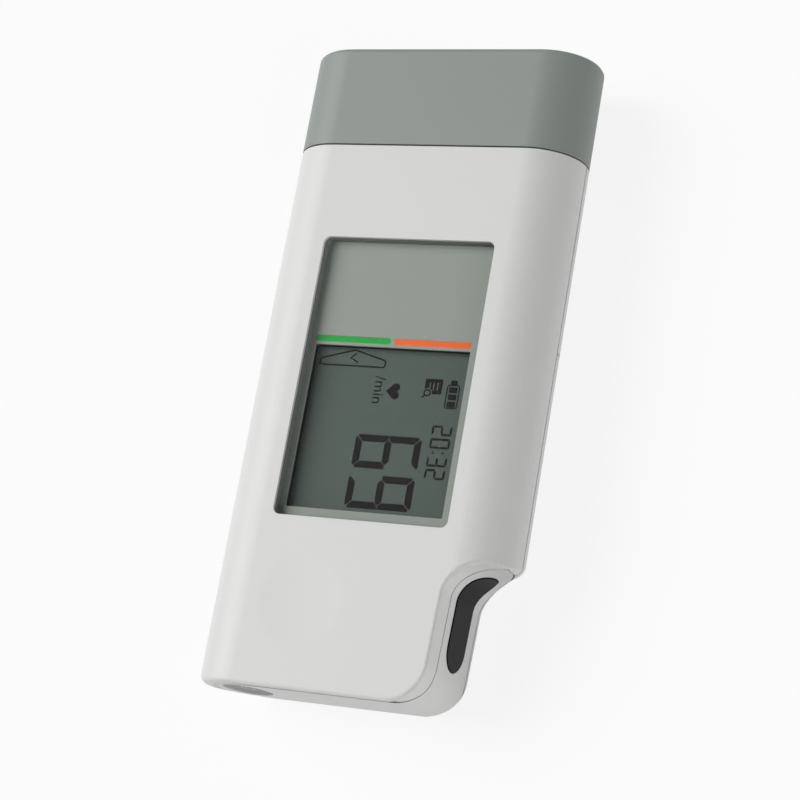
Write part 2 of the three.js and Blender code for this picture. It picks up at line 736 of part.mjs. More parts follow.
// Grip band: one strip from the ledge, down the recess and along the bottom end
function makeGripBand() {
  const pocket = cut(fingerZone(fingerGap), caseForm(0, fingerDepth + fingerGap));
  return cut(common(cut(outerForm, caseForm(0, bandSkin)), bandZone(0)), pocket, buttonBore, fingerBore);
}

// Cap: a deep cup with the same section as the case
function makeCap() {
  const cup = common(outerForm, slab(capSeam + gap / 2, top + overrun, -overrun, thickness + overrun));
  return cut(cup, prismY(sectionShape(wall), capSeam - overrun, top - capEndWall, fine));
}

// Electrode head: a cup that plugs the shells and carries the chest electrode
function makeHead() {
  const root = capSeam - headRoot;
  const floor = headEnd - headWall;
  const outer = prismY(sectionShape(wall + gap), root, headEnd, fine, headEdge);
  const inner = prismY(sectionShape(wall + gap + headWall), root - overrun, floor, medium);
  const hole = cylinderY(studDiameter / 2 + gap, floor - overrun, headEnd + overrun,
    chestLeadOffset, thickness / 2);
  return cut(outer, inner, hole);
}

function makeChestElectrode() {
  const middle = thickness / 2;
  const oval = rectangle(
    -chestWidth / 2, chestWidth / 2,
    middle - chestHeight / 2, middle + chestHeight / 2,
    chestHeight / 2 - seat,
  );
  const plate = prismY(oval, headEnd + seat, headEnd + seat + chestThickness, medium, chestDome);
  const stud = cylinderY(studDiameter / 2, headEnd - headWall - studTail, headEnd + chestThickness / 2,
    chestLeadOffset, middle);
  return join(plate, stud);
}

const makeLens = () => prismZ(windowShape(0), lensBottom, lensTop);

const viewShape = (grow) => rectangle(
  lcdViewShift - lcdViewWidth / 2 - grow, lcdViewShift + lcdViewWidth / 2 + grow,
  lcdMiddle - lcdViewLength / 2 - grow, lcdMiddle + lcdViewLength / 2 + grow);

const makeMask = () => cut(
  prismZ(windowShape(0), maskBottom, lensBottom),
  prismZ(viewShape(0), maskBottom - overrun, lensBottom + overrun),
);

// A plate centred on the liquid crystal cell, with its length and width grown
const lcdBlock = (growX, growY, low, high) => box(
  lcdViewShift - lcdWidth / 2 - growX, lcdViewShift + lcdWidth / 2 + growX,
  lcdMiddle - lcdLength / 2 - growY, lcdMiddle + lcdLength / 2 + growY, low, high);

const makeLcd = () => lcdBlock(0, 0, lcdBottom, lcdTop);

const makeHolder = () => cut(
  lcdBlock(gap + holderWall, gap + holderWall, boardTop + seat, boardTop + seat + holderHeight),
  lcdBlock(gap, gap, boardTop - overrun, thickness),
);

function makeZebra(side) {
  const edge = lcdMiddle + side * (lcdLength / 2 - zebraInset - zebraWidth / 2);
  return box(lcdViewShift - lcdWidth / 2 + zebraInset, lcdViewShift + lcdWidth / 2 - zebraInset,
    edge - zebraWidth / 2, edge + zebraWidth / 2, boardTop + seat, lcdBottom - seat);
}

// Main board: narrow beside the recess, wide under the display, with a tab that holds the switch
function makeBoard() {
  const narrow = recessWall - deepWall - boardSideRoom;
  const wide = ledge + deepWall + boardLedgeRoom;
  const low = bottom + boardLow;
  const main = prismZ(roundedShape([
    [boardLeft, low],
    [narrow, low],
    [narrow, wide],
    [boardRight, wide],
    [boardRight, boardEnd],
    [boardLeft, boardEnd],
  ]), boardBottom, boardTop);
  const tab = box(buttonOffset - tabHalf, buttonOffset + tabHalf,
    bottom + tabLow, bottom + tabHigh, boardBottom, boardTop);
  const armLow = bottom + tabHigh - armWidth;
  const armEnd = boardLeft + armReach;
  const arm = box(buttonOffset, armEnd, armLow, bottom + tabHigh, boardBottom, boardTop);
  const neck = box(boardLeft, armEnd, armLow, low + overrun, boardBottom, boardTop);
  const notch = switchSize / 2 + gap;
  const room = box(buttonOffset - notch, buttonOffset + notch,
    bottom, switchFront + switchLength + gap, boardBottom - overrun, boardTop + overrun);
  return cut(join(main, tab, arm, neck), room);
}

function makeChip(size, placeShare, shift) {
  const place = THREE.MathUtils.lerp(holderEnd, boardEnd, placeShare);
  return box(shift - size / 2, shift + size / 2, place - size / 2, place + size / 2,
    boardTop + seat, boardTop + seat + chipHeight);
}

// Power button: dished face, flange behind the lining, stem
const flangeStart = bottom + deepWall + gap;
const stemEnd = flangeStart + flangeThickness + stemLength;
const switchFront = stemEnd + switchRoom;

function makeButton() {
  const radius = buttonDiameter / 2;
  const face = bottom + buttonSunk;
  const dish = Array.from({ length: domeRings + 1 }, (_, ring) => {
    const share = ring / domeRings;
    return [radius * share, face + buttonDish * (1 - share ** 2)];
  });
  return turnedY([
    ...dish,
    [radius, flangeStart],
    [radius + flangeRadiusExtra, flangeStart],
    [radius + flangeRadiusExtra, flangeStart + flangeThickness],
    [stemDiameter / 2, flangeStart + flangeThickness],
    [stemDiameter / 2, stemEnd],
    [0, stemEnd],
  ], buttonOffset, buttonMiddle, buttonSides);
}

const plungerStart = stemEnd + seat;
const plungerEnd = plungerStart + switchRoom - seat + plungerLength;

const makePlunger = () =>
  cylinderY(plungerDiameter / 2, plungerStart, plungerEnd, buttonOffset, buttonMiddle);

const makeSwitch = () => cut(
  box(buttonOffset - switchSize / 2, buttonOffset + switchSize / 2, switchFront, switchFront + switchLength,
    buttonMiddle - switchHeight / 2, buttonMiddle + switchHeight / 2),
  cylinderY(plungerDiameter / 2 + plungerGap, switchFront - overrun, plungerEnd + buttonTravel + plungerGap,
    buttonOffset, buttonMiddle),
);

// Cells: a rolled can with its nub at one end
function makeCell(column, towardsCap) {
  const radius = cellDiameter / 2;
  const low = bayStart + contactRoom;
  const profile = [
    [0, 0],
    [radius - cellRim, 0],
    [radius, cellRim],
    [radius, cellLength - nubLength - cellRim],
    [radius - cellRim, cellLength - nubLength],
    [nubDiameter / 2, cellLength - nubLength],
    [nubDiameter / 2, cellLength],
    [0, cellLength],
  ];
  const placed = towardsCap
    ? profile.map(([r, h]) => [r, low + h])
    : profile.map(([r, h]) => [r, low + cellLength - h]).reverse();
  return turnedY(placed, bayMiddle + (column * cellPitch) / 2, cellMiddle);
}

// Contact plate on an end wall of the bay, with a boss that meets the nub
function makePlate(columns, atTop, nubColumn) {
  const wallFace = atTop ? bayStop - seat : bayStart + seat;
  const innerFace = atTop ? wallFace - plateThickness : wallFace + plateThickness;
  const centres = columns.map((column) => bayMiddle + (column * cellPitch) / 2);
  const plate = box(Math.min(...centres) - plateWidth / 2, Math.max(...centres) + plateWidth / 2,
    Math.min(wallFace, innerFace), Math.max(wallFace, innerFace),
    cellMiddle - plateHeight / 2, cellMiddle + plateHeight / 2);
  if (!nubColumn) return plate;
  const nubFace = atTop ? bayStop - contactRoom + nubGap : bayStart + contactRoom - nubGap;
  const boss = cylinderY(nubDiameter / 2, Math.min(nubFace, wallFace), Math.max(nubFace, wallFace),
    bayMiddle + (nubColumn * cellPitch) / 2, cellMiddle);
  return join(plate, boss);
}

// Coil that tapers from the plate to the flat end of a cell
class TaperedCoil extends THREE.Curve {
  constructor(startY, endY, x) {
    super();
    Object.assign(this, { startY, endY, x });
  }

  getPoint(t, target = new THREE.Vector3()) {
    const angle = t * springTurns * 2 * Math.PI;
    const radius = THREE.MathUtils.lerp(springBase, springTip, t);
    return target.set(this.x + radius * Math.cos(angle), THREE.MathUtils.lerp(this.startY, this.endY, t),
      cellMiddle + radius * Math.sin(angle));
  }
}

function makeSpring(column, atTop) {
  const inset = wireDiameter / 2 + seat;
  const plateFace = seat + plateThickness + inset;
  const start = atTop ? bayStop - plateFace : bayStart + plateFace;
  const end = atTop ? bayStop - contactRoom + inset : bayStart + contactRoom - inset;
  const coil = new TaperedCoil(start, end, bayMiddle + (column * cellPitch) / 2);
  const section = new THREE.Shape(Array.from({ length: wireSides }, (_, side) => {
    const angle = (side / wireSides) * 2 * Math.PI;
    return new THREE.Vector2(Math.cos(angle), Math.sin(angle)).multiplyScalar(wireDiameter / 2);
  }));
  return solidOf(new THREE.ExtrudeGeometry(section, {
    steps: Math.round(springTurns * wireStepsPerTurn),
    extrudePath: coil,
  }));
}

// Least distance between neighbouring turns of a spring, less the wire
function springClearance() {
  const run = contactRoom - plateThickness - 2 * seat - wireDiameter - seat;
  const coil = new TaperedCoil(0, run, 0);
  const points = coil.getPoints(roundSides * Math.ceil(springTurns));
  const apart = Math.round(points.length / springTurns / 2);
  let least = Infinity;
  points.forEach((a, i) => points.slice(i + apart).forEach((b) => {
    least = Math.min(least, a.distanceTo(b));
  }));
  return least - wireDiameter;
}
console.log('least gap between spring turns, mm:', springClearance().toFixed(2));

// Bent strip of spring metal, its side view drawn as a bar with one or two right-angled bends
function bentStrip(corners) {
  const inner = leadBend;
  const outer = leadBend + leadThickness;
  return roundedShape(corners.map(([x, y, bend = 0]) => [x, y, bend > 0 ? outer : bend < 0 ? inner : 0]));
}

// Lead from the finger electrode's stud up to the underside of the board
function makeFingerLead() {
  const wallSide = studInner - seat;
  const high = boardBottom - seat;
  const low = fingerMiddle - studDiameter;
  const strip = bentStrip([
    [wallSide - leadThickness, low],
    [wallSide, low],
    [wallSide, high, 1],
    [wallSide - leadFoot, high],
    [wallSide - leadFoot, high - leadThickness],
    [wallSide - leadThickness, high - leadThickness, -1],
  ]);
  const y = bottom + studHeight;
  return prismY(strip, y - leadWidth / 2, y + leadWidth / 2, coarse);
}

// Lead from the top of the board to the chest electrode's stud
function makeChestLead() {
  const foot = boardTop + seat;
  const far = headEnd - headWall - studTail - seat;
  const near = boardEnd - leadFoot;
  const low = thickness / 2 - studDiameter;
  const strip = bentStrip([
    [near, foot],
    [far - leadThickness, foot, -1],
    [far - leadThickness, low],
    [far, low],
    [far, foot + leadThickness, 1],
    [near, foot + leadThickness],
  ]);
  return prismX(strip, chestLeadOffset - leadWidth / 2, chestLeadOffset + leadWidth / 2, coarse);
}

// Screw: a pan head with a hexagonal socket, and a plain shaft
function makeScrew({ x, y }) {
  const body = turnedZ([
    [0, screwFloor],
    [screwHead / 2, screwFloor],
    [screwHead / 2, screwSeat],
    [screwShaft / 2, screwSeat],
    [screwShaft / 2, screwTop],
    [0, screwTop],
  ], x, y, screwSides);
  const across = socketWidth / 2;
  const socket = solidOf(new THREE.CylinderGeometry(across, across, 2 * socketDepth, socketSides)
    .rotateX(Math.PI / 2).translate(x, y, screwFloor));
  return cut(body, socket);
}

// Assembly
const monitor = new THREE.Group();

function addPiece(name, solid, finish) {
  const mesh = new THREE.Mesh(geometryOf(solid), new THREE.MeshStandardMaterial(finishes[finish]));
  mesh.name = name;
  monitor.add(mesh);
}

addPiece('front_shell', makeFrontShell(), 'white');
addPiece('rear_shell', makeRearShell(), 'white');
addPiece('battery_door', makeBatteryDoor(), 'white');
addPiece('grip_band', makeGripBand(), 'grip');
addPiece('finger_electrode', makeFingerElectrode(), 'conductive');
addPiece('protective_cap', makeCap(), 'sage');
addPiece('electrode_head', makeHead(), 'inner');
addPiece('chest_electrode', makeChestElectrode(), 'steel');
addPiece('display_window', makeLens(), 'clear');
addPiece('window_mask', makeMask(), 'mask');
addPiece('lcd_glass', makeLcd(), 'lcd');
addPiece('lcd_holder', makeHolder(), 'inner');
addPiece('zebra_strip_lower', makeZebra(-1), 'rubber');
addPiece('zebra_strip_upper', makeZebra(1), 'rubber');
addPiece('main_board', makeBoard(), 'circuit');
addPiece('processor_chip', makeChip(chipSize, chipPlaceShare, 0), 'chip');
addPiece('amplifier_chip', makeChip(ampSize, ampPlaceShare, -chestLeadOffset), 'chip');
addPiece('power_button', makeButton(), 'button');
addPiece('switch_plunger', makePlunger(), 'chip');
addPiece('power_switch', makeSwitch(), 'steel');
addPiece('cell_left', makeCell(-1, true), 'cell');
addPiece('cell_right', makeCell(1, false), 'cell');
addPiece('contact_bridge', makePlate([-1, 1], false, 1), 'steel');
addPiece('contact_plus', makePlate([-1], true, -1), 'steel');
addPiece('contact_minus', makePlate([1], true), 'steel');
addPiece('spring_lower', makeSpring(-1, false), 'steel');
addPiece('spring_upper', makeSpring(1, true), 'steel');
addPiece('finger_lead', makeFingerLead(), 'steel');
addPiece('chest_lead', makeChestLead(), 'steel');
screwSpots.forEach((spot) => addPiece(spot.name, makeScrew(spot), 'steel'));

export default monitor;
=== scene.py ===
# %% [markdown]
# # A hand-held heart-rhythm monitor
# The monitor is a palm-sized plastic case with a window, a black electrode in a finger recess, a second
# electrode under a pull-off cap, a power button and a battery door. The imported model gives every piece
# its place. This notebook gives the same pieces their fine edges, prints and finishes, and lights them.

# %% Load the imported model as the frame
import math

import bmesh
import bpy
from mathutils import Euler, Matrix, Vector
from mathutils.geometry import interpolate_bezier


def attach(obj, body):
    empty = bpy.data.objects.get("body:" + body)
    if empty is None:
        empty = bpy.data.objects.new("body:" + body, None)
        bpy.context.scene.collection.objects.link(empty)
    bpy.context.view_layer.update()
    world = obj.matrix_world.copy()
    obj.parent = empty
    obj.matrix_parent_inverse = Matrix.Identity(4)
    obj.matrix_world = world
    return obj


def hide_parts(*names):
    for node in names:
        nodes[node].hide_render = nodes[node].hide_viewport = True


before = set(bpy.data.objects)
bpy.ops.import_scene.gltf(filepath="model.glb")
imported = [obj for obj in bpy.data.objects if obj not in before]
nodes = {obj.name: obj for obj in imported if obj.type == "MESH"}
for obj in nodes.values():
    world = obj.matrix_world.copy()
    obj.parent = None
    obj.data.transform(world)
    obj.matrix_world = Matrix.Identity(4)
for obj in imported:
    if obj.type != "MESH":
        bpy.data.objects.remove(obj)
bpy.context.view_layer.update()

scene = bpy.context.scene

# %% [markdown]
# ## The camera
# The camera comes first, so that every later cell can be judged in the picture. It stands up and to the
# right of the recess end and looks down at the case. A long lens keeps the case's sides nearly parallel,
# as in a catalogue picture. No lens shift is needed.

# %% Place the camera
camera_data = bpy.data.cameras.new("camera")
camera_data.sensor_width = 36
camera_data.lens = 103.22
camera = bpy.data.objects.new("camera", camera_data)
camera.location = (0.16589, -0.11506, 0.39002)
camera.rotation_euler = Euler([math.radians(angle) for angle in (18.871, 20.779, 10.460)])
scene.collection.objects.link(camera)
scene.camera = camera
print("camera distance:", round(camera.location.length, 3), "m")

# %% [markdown]
# ## Sizes
# All shapes are drawn in millimetres, the unit of a moulding drawing, and brought to metres when a piece
# is finished. The names are those that a toolmaker would use: skins, gaps, lands and edge radii.

# %% Sizes of the case, in millimetres
width, length, thickness = 58.0, 125.0, 21.0
half, bottom, top = width / 2, -length / 2, length / 2
flank_width, front_depth = 9.7, 8.8
flat_half = half - flank_width
seam = thickness - front_depth
land_end = seam - 0.8
wall, door_skin, band_skin, lining, gap, seat = 1.8, 1.2, 1.6, 1.4, 0.3, 0.1
door_room, band_room = door_skin + gap, band_skin + gap
deep_wall = band_room + lining
cap_seam = top - 20.2
ledge = bottom + 26.1
recess_wall = half - 11.7
overrun = 1.0
print("case:", width, "x", length, "x", thickness, "mm, seam at height", seam)

# %% [markdown]
# ## Outlines
# Every section of a moulded case is made of straight runs joined by arcs. An outline can be drawn point
# by point, but it is easier to change when each corner only carries its radius. The arc itself is a
# Bezier curve whose handles are the well-known fraction of the radius.

# %% Outline with rounded corners
fine = 10


def arc_handle(turn):
    """Handle length, as a share of the radius, of a Bezier curve that follows an arc of this turn."""
    return 4 / 3 * math.tan(turn / 4)


def outline(corners, steps=fine):
    """Points of a closed outline; a corner is (x, y) or (x, y, radius)."""
    points = []
    for index, (x, y, *rest) in enumerate(corners):
        here = Vector((x, y))
        radius = rest[0] if rest else 0
        if radius <= 0:
            points.append(here)
            continue
        back = (Vector(corners[index - 1][:2]) - here).normalized()
        ahead = (Vector(corners[(index + 1) % len(corners)][:2]) - here).normalized()
        opening = back.angle(ahead)
        reach = radius / math.tan(opening / 2)
        handle = arc_handle(math.pi - opening) * radius
        start, end = here + back * reach, here + ahead * reach
        points += interpolate_bezier(start, start - back * handle, end - ahead * handle, end, steps + 1)
    return points


def rectangle(x0, x1, y0, y1, radius=0, steps=fine):
    return outline([(x0, y0, radius), (x1, y0, radius), (x1, y1, radius), (x0, y1, radius)], steps)


def quarter(steps):
    """Angles from 0 to 90 degrees."""
    return [math.pi / 2 * step / steps for step in range(steps + 1)]


print("points in a rounded square:", len(rectangle(0, 1, 0, 1, 0.2)))

# %% [markdown]
# ## From outline to solid
# A solid between two or more equal rings of points is a loft. It starts as one face, and each further
# ring is an extrusion of that face whose corners are moved to their new places. A prism is a loft of two
# rings. Each helper works in a bmesh, Blender's editable form of a mesh, and closes it when it is done.

# %% Open and close a bmesh
def opened(*meshes):
    bm = bmesh.new()
    for mesh in meshes:
        bm.from_mesh(mesh)
    return bm


def closed(bm, mesh=None):
    """Write a bmesh to a mesh, or to a new one, and free it."""
    mesh = mesh or bpy.data.meshes.new("shape")
    bm.to_mesh(mesh)
    bm.free()
    return mesh


print("an empty mesh has", len(closed(opened()).vertices), "vertices")

# %% Loft and prism
def loft(rings):
    """Closed mesh through rings with equal numbers of points."""
    bm = bmesh.new()
    loop = [bm.verts.new(point) for point in rings[0]]
    face = bm.faces.new(loop)
    for count, ring in enumerate(rings[1:]):
        order = {vert.co.to_tuple(): index for index, vert in enumerate(loop)}
        moved = bmesh.ops.extrude_face_region(bm, geom=[face])["geom"]
        if count:
            bmesh.ops.delete(bm, geom=[face], context="FACES_ONLY")
        face = next(item for item in moved if isinstance(item, bmesh.types.BMFace))
        loop = sorted(face.verts, key=lambda vert: order[vert.co.to_tuple()])
        for vert, point in zip(loop, ring):
            vert.co = point
    bmesh.ops.recalc_face_normals(bm, faces=bm.faces)
    return closed(bm)


def place(points, axis, height):
    """Points of a flat outline, set at a height along the axis."""
    spots = {
        "X": lambda p: Vector((height, p[0], p[1])),
        "Y": lambda p: Vector((p[0], height, p[1])),
        "Z": lambda p: Vector((p[0], p[1], height)),
    }
    return [spots[axis](point) for point in points]


def prism(points, axis, low, high):
    return loft([place(points, axis, low), place(points, axis, high)])


def block(x0, x1, y0, y1, z0, z1):
    return prism(rectangle(x0, x1, y0, y1), "Z", z0, z1)


def slab(y0, y1, z0, z1):
    return block(-half - overrun, half + overrun, y0, y1, z0, z1)


print("faces of a block:", len(block(0, 1, 0, 1, 0, 1).polygons))

# %% [markdown]
# ## Cutting and joining
# A moulding is easiest to think of as a block with rooms cut out of it. Blender's Boolean modifier does
# that. Its manifold solver is exact enough for closed solids and fast, so each step is worked out at
# once.

# %% Boolean helpers
def boolean(operation, body, tools):
    helpers = [bpy.data.objects.new("bench", mesh) for mesh in (body, *tools)]
    for helper in helpers:
        scene.collection.objects.link(helper)
    for helper in helpers[1:]:
        modifier = helpers[0].modifiers.new("step", "BOOLEAN")
        modifier.operation = operation
        modifier.solver = "MANIFOLD"
        modifier.object = helper
    depsgraph = bpy.context.evaluated_depsgraph_get()
    result = bpy.data.meshes.new_from_object(helpers[0].evaluated_get(depsgraph))
    for helper in helpers:
        bpy.data.objects.remove(helper)
    return result


def cut(body, *tools):
    return boolean("DIFFERENCE", body, tools)


def join(body, *tools):
    return boolean("UNION", body, tools)


def common(body, *tools):
    return boolean("INTERSECT", body, tools)


def volume(mesh):
    bm = opened(mesh)
    size = bm.calc_volume(signed=True)
    bm.free()
    return size


print("a cut block:", round(volume(cut(block(0, 2, 0, 2, 0, 2), block(1, 3, -1, 3, -1, 3))), 3), "mm3")

# %% [markdown]
# ## The case form
# Seen from the end, the case has elliptic flanks in front and a softer curve to its flat back. The same
# section runs from end to end. At the bottom end its edge is tight round the face and opens to a wide
# heel at the back, so the edge radius changes on the way round. A plain extrusion could not do that. A
# loft can: each ring is the section, drawn in by a little less than the one before, along its own
# normals.

# %% Section of the case
back_curve_width, back_curve_reach, flank_reach = 11.5, 5.0, 3.4


def section(inset=0.0, steps=18):
    edge, high = half - inset, thickness - inset
    back_flat, back_handle = half - back_curve_width, half - back_curve_reach - inset
    circle = arc_handle(math.pi / 2)
    back = interpolate_bezier(
        Vector((back_flat, inset)), Vector((back_handle, inset)),
        Vector((edge, land_end - flank_reach)), Vector((edge, land_end)), steps)
    front = interpolate_bezier(
        Vector((edge, seam)), Vector((edge, seam + circle * (front_depth - inset))),
        Vector((flat_half + circle * (flank_width - inset), high)), Vector((flat_half, high)), steps)
    right = back + front
    return right + [Vector((-x, z)) for x, z in reversed(right)]


def outward(points):
    """Unit normals of a closed outline that runs anticlockwise."""
    normals = []
    for index in range(len(points)):
        along = points[(index + 1) % len(points)] - points[index - 1]
        normals.append(Vector((along.y, -along.x)).normalized())
    return normals


print("section points:", len(section()))

# %% [markdown]
# ## The finger recess
# The recess is a drafted space at the case's corner: a rounded corner, a leaning wall, an elliptic fillet
# and a ledge. Where it meets the case its edge is rounded by a radius that differs from place to place. A
# bevel would fail on such a blend, so the space itself widens near the case's surface, at levels set
# close together there.

# %% Finger recess
heel_radius, flank_edge, face_edge, tip_edge = 7.0, 2.2, 0.7, 1.0
recess_lean, recess_draft_share, recess_height = 0.9, 0.013, 26.1
corner_width, corner_height, corner_draft_share = 7.2, 7.8, 0.1
fillet_width, fillet_height = 8.4, 6.2
wall_face_edge, wall_back_edge, ledge_face_edge, ledge_back_edge = 0.5, 0.8, 0.9, 3.0
soft_below, soft_above = 5.0, 16.0
flank_levels = (8.2, 9.4, 10.6, 11.4, seam, 13.2, 14.4, 15.4, 16.4, 17.2, 18.0, 18.7, 19.3, 19.8)
ledge_spans = (1.0, 0.75, 0.55, 0.38, 0.24, 0.13, 0.05, 0.01, -0.1)
lap, least = 0.02, 0.05


def smooth(share):
    share = min(max(share, 0.0), 1.0)
    return share * share * (3 - 2 * share)


def mixed(first, second, share):
    return first + (second - first) * share


sides = []
for first, second in zip(section(), section()[1:] + section()[:1]):
    along = (second - first).normalized()
    sides.append((first, Vector((-along.y, along.x))))


def depth_at(x, height):
    """How deep a point lies in the section, whose nearest side decides because it is convex."""
    return min(inward.dot(Vector((x, height)) - start) for start, inward in sides)


def flare(x, height, back, face, inset):
    """How far the recess widens where its edge with the case is rounded."""
    radius = mixed(back, face, smooth((height - soft_below) / (soft_above - soft_below))) - inset
    depth = max(depth_at(x, height) - inset, 0)
    return radius - math.sqrt(radius ** 2 - (radius - depth) ** 2) if radius > depth else 0.0


def half_width_at(height):
    right = [point for point in section() if point.x > 0]
    for low, high in zip(right, right[1:]):
        if low.y <= height <= high.y and high.y > low.y:
            return mixed(low.x, high.x, (height - low.y) / (high.y - low.y))
    return right[0].x if height < 0 else flat_half


def recess_ring(inset, height, corner_steps=20, fillet_steps=28):
    """Outline of the space at a height: corner, leaning wall, elliptic fillet and ledge."""
    shift = recess_draft_share * (thickness - height)
    broad = corner_width - corner_draft_share * (thickness - height)
    lean = recess_lean / recess_height
    soften = 0.0 if inset > 0 else 1.0
    corner_x = recess_wall + shift + lean * corner_height - broad
    corner_y = bottom + corner_height - lap
    ring = [(corner_x, bottom - 2 * overrun)]
    for step in range(corner_steps + 1):
        share = step / corner_steps
        angle = (share - 1) * math.pi / 2
        back = mixed(heel_radius, wall_back_edge, smooth(share))
        face = mixed(face_edge, wall_face_edge, share)
        grow = inset + flare(corner_x + (broad - inset) * math.cos(angle), height, back, face, inset)
        ring.append((corner_x + max(broad - grow, least) * math.cos(angle),
                     corner_y + max(corner_height - grow, least) * math.sin(angle)))
    fillet_x = recess_wall + shift + lean * (recess_height - fillet_height) + fillet_width
    for step in range(fillet_steps + 1):
        share = step / fillet_steps
        angle = math.pi - share * math.pi / 2
        soft = smooth(share)
        x = fillet_x + (fillet_width + inset) * math.cos(angle)
        grow = inset + soften * flare(x, height, mixed(wall_back_edge, ledge_back_edge, soft),
                                      mixed(wall_face_edge, ledge_face_edge, soft), inset)
        ring.append((fillet_x + (fillet_width + grow) * math.cos(angle),
                     ledge - fillet_height + (fillet_height + grow) * math.sin(angle)))
    flank = half_width_at(height)
    for count, span in enumerate(ledge_spans):
        x = max(flank - span * ledge_back_edge, fillet_x + (count + 1) * least)
        rise = soften * flare(x, height, ledge_back_edge, ledge_face_edge, inset)
        ring.append((x, ledge + inset + rise))
    far = half + shift + overrun
    ring += [(far, ring[-1][1]), (far, bottom - 2 * overrun)]
    return place(ring, "Z", height)


def recess(inset):
    """Drafted space of the finger recess, with levels close together where edges are rounded."""
    heel_levels = [heel_radius * (1 - math.cos(angle)) for angle in quarter(16)]
    face_levels = [thickness - ledge_face_edge * (1 - math.cos(angle)) for angle in reversed(quarter(9))]
    levels = [-overrun, *heel_levels, *flank_levels, *face_levels, thickness + overrun]
    return loft([recess_ring(inset, height) for height in levels])


print("points in a recess ring:", len(recess_ring(0, 5)))

# %% [markdown]
# ## The whole form and the forms inside it
# One function gives the case with its surface moved inwards by any distance. A wall is then the case less
# the same case moved inwards, and so is every lining, slot and door.

# %% Case form
edge_steps = 8


def end_radius(height):
    """Edge radius of the bottom end at a height: face, flank, heel."""
    if height > seam:
        return mixed(flank_edge, face_edge, (height - seam) / front_depth)
    return mixed(flank_edge, heel_radius, smooth(1 - height / seam))


def case(inset=0.0, deep=None):
    """The case with its surface moved inwards; the bottom end and the recess may move further."""
    deep = inset if deep is None else deep
    points = section(inset)
    normals = outward(points)
    radii = [end_radius(point.y) - deep for point in section()]
    rings = []
    for angle in quarter(edge_steps):
        ring = []
        for point, normal, radius in zip(points, normals, radii):
            rounded = max(radius, least)
            draw = rounded * (1 - math.sin(angle)) + (deep - inset if radius > 0 else 0)
            spot = point - normal * draw
            ring.append(Vector((spot.x, bottom + deep + rounded * (1 - math.cos(angle)), spot.y)))
        rings.append(ring)
    if deep > inset:
        last = rings[-1]
        rings.append([spot + Vector((0, deep, 0)) for spot in last])
        rings.append([Vector((point.x, spot.y + deep + least, point.y))
                      for point, spot in zip(points, last)])
    tip = max(tip_edge - inset, least)
    for angle in quarter(edge_steps):
        drawn = [point - normal * tip * (1 - math.cos(angle)) for point, normal in zip(points, normals)]
        rings.append(place(drawn, "Y", top - inset - tip * (1 - math.sin(angle))))
    return cut(loft(rings), recess(deep))


outer_form = case()
print("outer form:", round(volume(outer_form) / 1000, 2), "cm3")

# %% [markdown]
# ## Finishes
# A finish is a small network of nodes round one shader. Written as plain sums it stays readable, so a
# short class wraps a node's output and turns + and * into Math nodes. Another class holds a node tree, of
# a material or of the world, and makes every other node from its type, its settings and its inputs.

# %% Wire and finish
class Wire:
    """One value on its way through a material."""

    def __init__(self, finish, socket):
        self.finish, self.socket = finish, socket

    def math(self, operation, first, second):
        node = self.finish.node("ShaderNodeMath", {"operation": operation}, {0: first, 1: second})
        return node.out(0)

    def __add__(self, other):
        return self.math("ADD", self, other)

    def __mul__(self, other):
        return self.math("MULTIPLY", self, other)

    __radd__, __rmul__ = __add__, __mul__


class Step:
    """A node of a finish; out() gives one of its outputs as a wire."""

    def __init__(self, finish, node):
        self.finish, self.node = finish, node

    def out(self, name):
        return Wire(self.finish, self.node.outputs[name])


class Network:
    """A node tree of a material or of the world."""

    def __init__(self, tree):
        self.tree = tree

    def node(self, kind, settings=None, inputs=None):
        node = self.tree.nodes.new(kind)
        for key, value in (settings or {}).items():
            setattr(node, key, value)
        for key, value in (inputs or {}).items():
            self.feed(node.inputs[key], value)
        return Step(self, node)

    def feed(self, socket, value):
        if isinstance(value, Wire):
            self.tree.links.new(value.socket, socket)
        else:
            socket.default_value = value

    def seen_directly(self):
        """1 where the camera sees the surface, also through glass or in a reflection."""
        rays = self.node("ShaderNodeLightPath")
        return rays.out("Is Camera Ray") + rays.out("Is Glossy Ray") + rays.out("Is Transmission Ray")


class Finish(Network):
    """A material with one Principled shader."""

    def __init__(self, name, **constants):
        self.material = bpy.data.materials.new(name)
        self.material.use_nodes = True
        super().__init__(self.material.node_tree)
        self.shader = self.tree.nodes["Principled BSDF"]
        for socket, value in constants.items():
            self.shader.inputs[socket.replace("_", " ")].default_value = value

    def drive(self, name, wire):
        self.feed(self.shader.inputs[name], wire)

    def place(self):
        return self.node("ShaderNodeTexCoord").out("Object")

    def noise(self, scale, detail=2.0, where=None):
        inputs = {"Vector": where or self.place(), "Scale": scale, "Detail": detail}
        return self.node("ShaderNodeTexNoise", None, inputs).out("Fac")

    def blend(self, factor, first, second):
        """Mix of two colours."""
        return self.node("ShaderNodeMix", {"data_type": "RGBA"}, {0: factor, 6: first, 7: second}).out(2)

    def cloud(self, factor, tone, drift):
        """Base colour that drifts by this share below and above the tone."""
        shade = [value * (1 - drift) for value in tone[:3]] + [1.0]
        lift = [min(value * (1 + drift), 1.0) for value in tone[:3]] + [1.0]
        self.drive("Base Color", self.blend(factor, shade, lift))

    def relief(self, height, depth, edge):
        """Bump of a height signal, over edges that look rounded by this radius."""
        rounded = self.node("ShaderNodeBevel", {"samples": 6}, {"Radius": edge}).out("Normal")
        inputs = {"Height": height, "Distance": depth, "Strength": 1.0, "Normal": rounded}
        self.drive("Normal", self.node("ShaderNodeBump", None, inputs).out("Normal"))


